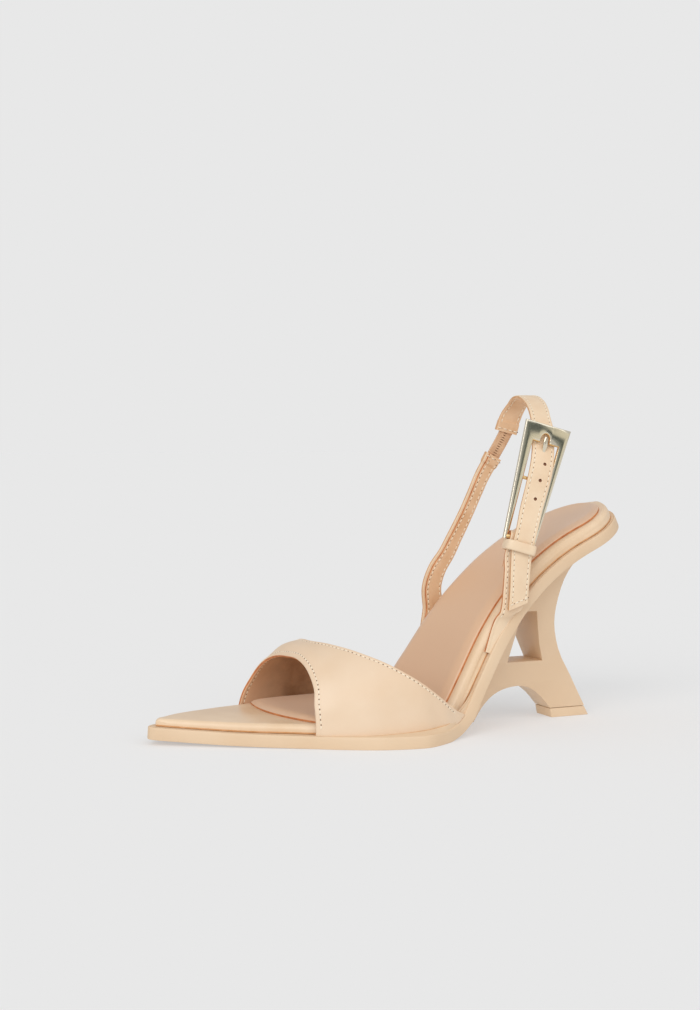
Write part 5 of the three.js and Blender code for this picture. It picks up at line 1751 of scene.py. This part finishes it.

# %% [markdown]
# The buckle is cast zinc with a pale gold plating, polished to a mirror. A mirror has hardly any colour of
# its own and shows the studio instead, so a glowing panel, painted in a ramp from pale cream to dark grey
# green, stands where its face looks and is seen only in its reflections. The face was polished on a soft
# wheel, which leaves it slightly domed between its edges, and that dome bends the panel's reflection.

# %% Pale gold
def pale_gold(name, pale, deep):
    """Pale gold plating on cast zinc: metallic, nearly mirror smooth, with fine haze from handling."""
    material, tree, shader = start_material(name)
    place = add(tree, "ShaderNodeTexCoord").outputs["Object"]
    haze = add(tree, "ShaderNodeTexNoise", {"Scale": 1 / (6 * MM), "Detail": 3.0}, {"Vector": place})
    tone = add(tree, "ShaderNodeValToRGB", links={"Fac": haze.outputs["Fac"]})
    tone.color_ramp.elements[0].color = linear(deep)
    tone.color_ramp.elements[1].color = linear(pale)
    gloss = add(
        tree, "ShaderNodeMapRange", {"To Min": 0.1, "To Max": 0.19}, {"Value": haze.outputs["Fac"]}
    )
    tree.links.new(tone.outputs["Color"], shader.inputs["Base Color"])
    tree.links.new(gloss.outputs["Result"], shader.inputs["Roughness"])
    shader.inputs["Metallic"].default_value = 1
    return material


gold = pale_gold("pale_gold_plating", "#EEE6D3", "#E2D8C2")
# Painted reflection: the window's edges and the two bars get a warmer copy of the same plating, for the tan
# leather they reflect.
warm_gold_reflection = pale_gold("pale_gold_painted_warm_reflection", "#F0CF98", "#DDB578")

# %% Buckle frame
FRAME_EDGE = 0.5
FRAME_DOME = 0.16
FACE_STEPS = 9


def frame_stations():
    """Pairs of inner and outer points round the arch of the frame, from bottom left to bottom right."""
    left = OPENING_SHIFT - FRAME_OPENING / 2
    right = OPENING_SHIFT + FRAME_OPENING / 2
    foot = -FRAME_BOTTOM_BAR
    flare = right + OPENING_FLARE
    stations = []
    for t in np.linspace(0, 1, 12):
        outer = np.array([-FRAME_BOTTOM / 2, foot]) * (1 - t) + np.array([-FRAME_TOP / 2, FRAME_END]) * t
        stations.append(((left, foot + t * (WINDOW_TOP - foot)), tuple(outer)))
    top = [(left, WINDOW_TOP), (-NOTCH_RADIUS, WINDOW_TOP)]
    for angle in np.linspace(180, 0, 13):
        cos, sin = math.cos(math.radians(angle)), math.sin(math.radians(angle))
        top.append(
            (NOTCH_RADIUS * cos, WINDOW_TOP + NOTCH_REACH * 0.35 + (NOTCH_RADIUS + NOTCH_REACH * 0.65) * sin)
        )
    top += [(NOTCH_RADIUS, WINDOW_TOP), (flare, WINDOW_TOP)]
    lengths = np.array([math.hypot(b[0] - a[0], 0.15 * (b[1] - a[1])) for a, b in zip(top, top[1:])])
    shares = np.concatenate([[0], np.cumsum(lengths)]) / lengths.sum()
    for (w, a), share in list(zip(top, shares))[1:]:
        stations.append(((w, a), (-FRAME_TOP / 2 + share * FRAME_TOP, FRAME_END)))
    for t in np.linspace(0, 1, 12)[1:]:
        outer = np.array([FRAME_TOP / 2, FRAME_END]) * (1 - t) + np.array([FRAME_BOTTOM / 2, foot]) * t
        inner = (flare + t * (right - flare), WINDOW_TOP + t * (foot - WINDOW_TOP))
        stations.append((inner, tuple(outer)))
    return stations


def frame_profile(width):
    """Share from the inner side to the outer and height out of the plane, once round the frame's section."""
    half = FRAME_THICK / 2
    round_angles = np.radians([0, 30, 60, 90])
    near = [
        (FRAME_EDGE * (1 - math.cos(a)), half - FRAME_EDGE + FRAME_EDGE * math.sin(a)) for a in round_angles
    ]
    body = [
        (FRAME_EDGE + t * (width - 2 * FRAME_EDGE), half + FRAME_DOME * math.sin(math.pi * t))
        for t in np.linspace(0, 1, FACE_STEPS)[1:-1]
    ]
    far = [(width - d, h) for d, h in reversed(near)]
    front = near + body + far
    back = [(d, -min(h, half)) for d, h in reversed(front)]
    return [(d / width, h) for d, h in front + back]


def round_bar(from_point, to_point, radius, sides=20, ends=4):
    """A bar with rounded ends, as points and faces."""
    from_point, to_point = np.asarray(from_point, float), np.asarray(to_point, float)
    ahead = (to_point - from_point) / np.linalg.norm(to_point - from_point)
    across = AXIS_N - ahead * AXIS_N.dot(ahead)
    across /= np.linalg.norm(across)
    third = np.cross(ahead, across)
    stops = [(-math.cos(a), math.sin(a)) for a in np.linspace(0.15, math.pi / 2, ends)]
    places = [(from_point, d, r) for d, r in stops] + [(to_point, -d, r) for d, r in reversed(stops)]
    rings = []
    for centre, shift, size in places:
        turn = np.linspace(0, 2 * math.pi, sides, endpoint=False)
        circle = np.outer(np.cos(turn), across) + np.outer(np.sin(turn), third)
        rings.append(centre + 0.3 * radius * shift * ahead + radius * size * circle)
    return skin(rings)[:2]


def combined(parts):
    """Several closed meshes as one list of points and one list of faces, each turned to face out."""
    points = []
    faces = []
    for part_points, part_faces in parts:
        start = sum(len(p) for p in points)
        turned_faces = outward(np.asarray(part_points), part_faces)
        faces += [tuple(start + v for v in face) for face in turned_faces]
        points.append(np.asarray(part_points))
    return np.concatenate(points), faces


def make_buckle_frame():
    """The tapered arch, its bottom bar and its pivot bar."""
    rings = []
    for (wi, ai), (wo, ao) in frame_stations():
        width = math.hypot(wo - wi, ao - ai)
        ring = [frame_at(wi + t * (wo - wi), ai + t * (ao - ai), n) for t, n in frame_profile(width)]
        rings.append(ring)
    points, faces, places = skin(rings)
    arch = (points, faces)
    around = len(rings[0])
    slots = [int(j in (0, 1, 2, around - 1)) for j in places]
    left = OPENING_SHIFT - FRAME_OPENING / 2 - 1
    right = OPENING_SHIFT + FRAME_OPENING / 2 + 1
    bottom = round_bar(frame_at(left, 0, 0), frame_at(right, 0, 0), FRAME_BOTTOM_BAR)
    pivot_ends = [frame_at(w, PIVOT_HEIGHT, -PIVOT_BACK) for w in (left, right + OPENING_FLARE)]
    pivot = round_bar(*pivot_ends, PIVOT_RADIUS)
    points, faces = combined([arch, bottom, pivot])
    slots += [1] * (len(faces) - len(slots))
    buckle = make_piece("buckle_arch", points, faces, [gold, warm_gold_reflection], slots, sharp=40)
    settle(buckle, "pale_gold", "buckle_frame")


make_buckle_frame()

# %% Prong
PRONG_LINE = [
    (1, PIVOT_HEIGHT + PIVOT_RADIUS + SEAM, -PIVOT_BACK),
    (1, PIVOT_HEIGHT + 7, -PIVOT_BACK),
    (1, CROSSING - 2.5, -0.7),
    (0.9, CROSSING, -0.1),
    (0.7, CROSSING + 2.5, 0.6),
    (0.4, CROSSING + 4.5, 0.95),
    (0, WINDOW_TOP + NOTCH_REACH + NOTCH_RADIUS - 1, 1),
]


PRONG_LEAF = 0.5  # the shaft swells by this much where it lies on the strap


def make_prong():
    """The prong's leaf-shaped shaft, round at its tip, and the ring that turns on the pivot bar."""
    at = [frame_at(*row) for row in PRONG_LINE]
    steps = 48
    rings = []
    turn = np.linspace(0, 2 * math.pi, 20, endpoint=False)
    for i in range(steps + 1):
        t = i / steps
        ahead = catmull(at, min(t + 1e-4, 1)) - catmull(at, max(t - 1e-4, 0))
        ahead /= np.linalg.norm(ahead)
        out = np.cross(AXIS_W, ahead)
        tip = math.sqrt(max(1 - max((t - 0.95) / 0.05, 0) ** 2, 0.01))
        leaf = math.sin(math.pi * min(max((t - 0.5) / 0.5, 0), 1)) ** 0.7
        wide = (PRONG_RADIUS * (1 - 0.35 * t**6) + PRONG_LEAF * leaf) * tip
        thick = PRONG_RADIUS * (1 - 0.25 * t**6) * tip
        circle = np.outer(wide * np.cos(turn), AXIS_W) + np.outer(thick * np.sin(turn), out)
        rings.append(catmull(at, t) + circle)
    shaft = skin(rings)[:2]
    ring_rows = []
    for angle in np.linspace(0, 2 * math.pi, 25):
        centre = frame_at(1, PIVOT_HEIGHT, -PIVOT_BACK)
        spoke = math.cos(angle) * AXIS_A + math.sin(angle) * AXIS_N
        section = [(-1.3, 1.1), (-1.3, 1.5), (-1.1, 1.6), (1.1, 1.6), (1.3, 1.5), (1.3, 1.1)]
        ring_rows.append([centre + w * AXIS_W + r * spoke for w, r in section])
    ring_points, ring_faces, _ = skin(ring_rows, capped=False)
    points, faces = combined([shaft, (ring_points, ring_faces)])
    prong = make_piece("prong_pin", points, faces, [gold], sharp=40)
    weld(prong)
    settle(prong, "pale_gold", "prong")


make_prong()

# %% Panel that the buckle mirrors


def make_panel():
    """A glowing panel beyond the camera's side, painted pale and dark in a ramp, seen only in glossy
    reflections.
    """
    face_centre = frame_at(0, 26, 1.2) * MM
    view = (Vector(CAMERA_PLACE) - Vector(face_centre)).normalized()
    normal = Vector(AXIS_N)
    mirror = 2 * normal.dot(view) * normal - view
    centre = Vector(face_centre) + 1.2 * mirror
    across = mirror.cross(Vector((0, 0, 1))).normalized()
    up = across.cross(mirror).normalized()
    half_wide, half_high = 0.32, 0.42
    corners = [
        centre + a * half_wide * across + b * half_high * up for a, b in ((-1, -1), (1, -1), (1, 1), (-1, 1))
    ]
    mesh = bpy.data.meshes.new("painted_reflection_panel")
    mesh.from_pydata([tuple(c) for c in corners], [], [(0, 1, 2, 3)])
    layer = mesh.uv_layers.new(name="panel")
    for loop, uv in zip(layer.data, ((0, 0), (1, 0), (1, 1), (0, 1))):
        loop.uv = uv
    panel = bpy.data.objects.new("painted_reflection_panel", mesh)
    scene.collection.objects.link(panel)
    material = bpy.data.materials.new("panel_painted_reflection")
    material.use_nodes = True
    tree = material.node_tree
    tree.nodes.clear()
    output = add(tree, "ShaderNodeOutputMaterial")
    place = add(tree, "ShaderNodeTexCoord").outputs["UV"]
    split = add(tree, "ShaderNodeSeparateXYZ", links={"Vector": place})
    slant = add(
        tree, "ShaderNodeMath", {"operation": "MULTIPLY_ADD", 1: 0.35},
        {0: split.outputs["Y"], 2: split.outputs["X"]},
    )
    ramp = add(tree, "ShaderNodeValToRGB", links={"Fac": slant.outputs[0]})
    # Painted reflection: the panel glows in these tones, pale to one side and dark to the other, so that the
    # buckle's face shows them from this view.
    tones = [
        (0.0, "#E8E4D6"), (0.55, "#DEDACA"), (0.63, "#858A84"),
        (0.69, "#565E5C"), (0.82, "#454D4B"), (1.0, "#8A8F8B"),
    ]
    elements = ramp.color_ramp.elements
    while len(elements) < len(tones):
        elements.new(0.5)
    for element, (position, tone) in zip(elements, tones):
        element.position = position
        element.color = linear(tone)
    glow = add(tree, "ShaderNodeEmission", {"Strength": 1.0}, {"Color": ramp.outputs["Color"]})
    tree.links.new(glow.outputs["Emission"], output.inputs["Surface"])
    mesh.materials.append(material)
    panel.visible_camera = False
    panel.visible_diffuse = False
    panel.visible_shadow = False


make_panel()

# %% [markdown]
# The heel is moulded ABS, sprayed to match the leather with a satin lacquer. Its solid already has the right
# form, so a merged copy of it gets only what the mould gave the real one: softened edges.

# %% Heel and top lift


def satin_lacquer():
    """Sprayed satin lacquer on ABS: even nude, slight orange peel, a wider and brighter gloss than rubber."""
    material, tree, shader = start_material("satin_heel_lacquer")
    place = add(tree, "ShaderNodeTexCoord").outputs["Object"]
    cloud = add(tree, "ShaderNodeTexNoise", {"Scale": 22.0, "Detail": 3.0}, {"Vector": place})
    tone = add(tree, "ShaderNodeValToRGB", links={"Fac": cloud.outputs["Fac"]})
    tone.color_ramp.elements[0].position = 0.3
    tone.color_ramp.elements[0].color = linear("#E0C2A0")
    tone.color_ramp.elements[1].position = 0.7
    tone.color_ramp.elements[1].color = linear("#E6CAAA")
    peel = add(tree, "ShaderNodeTexNoise", {"Scale": 1 / (1.6 * MM), "Detail": 1.0}, {"Vector": place})
    bump = add(
        tree, "ShaderNodeBump", {"Strength": 0.08, "Distance": 0.1 * MM}, {"Height": peel.outputs["Fac"]}
    )
    tree.links.new(tone.outputs["Color"], shader.inputs["Base Color"])
    tree.links.new(bump.outputs["Normal"], shader.inputs["Normal"])
    shader.inputs["Roughness"].default_value = 0.4
    return material


lacquer = satin_lacquer()


def softened_copy(node, name, material, slot, width, angle=35):
    """A merged copy of a CAD solid with its sharp edges rounded."""
    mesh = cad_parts[node].data.copy()
    mesh.name = name
    mesh.materials.clear()
    mesh.materials.append(material)
    shape = bmesh.new()
    shape.from_mesh(mesh)
    bmesh.ops.remove_doubles(shape, verts=shape.verts, dist=0.002 * MM)
    bmesh.ops.dissolve_limit(shape, angle_limit=math.radians(1.2), verts=shape.verts, edges=shape.edges)
    shape.to_mesh(mesh)
    shape.free()
    piece = bpy.data.objects.new(name, mesh)
    scene.collection.objects.link(piece)
    bevel = piece.modifiers.new("soft_edges", "BEVEL")
    bevel.width = width * MM
    bevel.segments = 3
    bevel.limit_method = "ANGLE"
    bevel.angle_limit = math.radians(angle)
    bevel.harden_normals = False
    depsgraph = bpy.context.evaluated_depsgraph_get()
    made = bpy.data.meshes.new_from_object(piece.evaluated_get(depsgraph))
    piece.modifiers.clear()
    piece.data = made
    made.polygons.foreach_set("use_smooth", np.ones(len(made.polygons), bool))
    made.set_sharp_from_angle(angle=math.radians(32))
    return settle(piece, slot, node)


softened_copy("heel", "heel_shell", lacquer, "heel", 0.55)
softened_copy("top_lift", "heel_lift", rubber, "top_lift", 0.3)
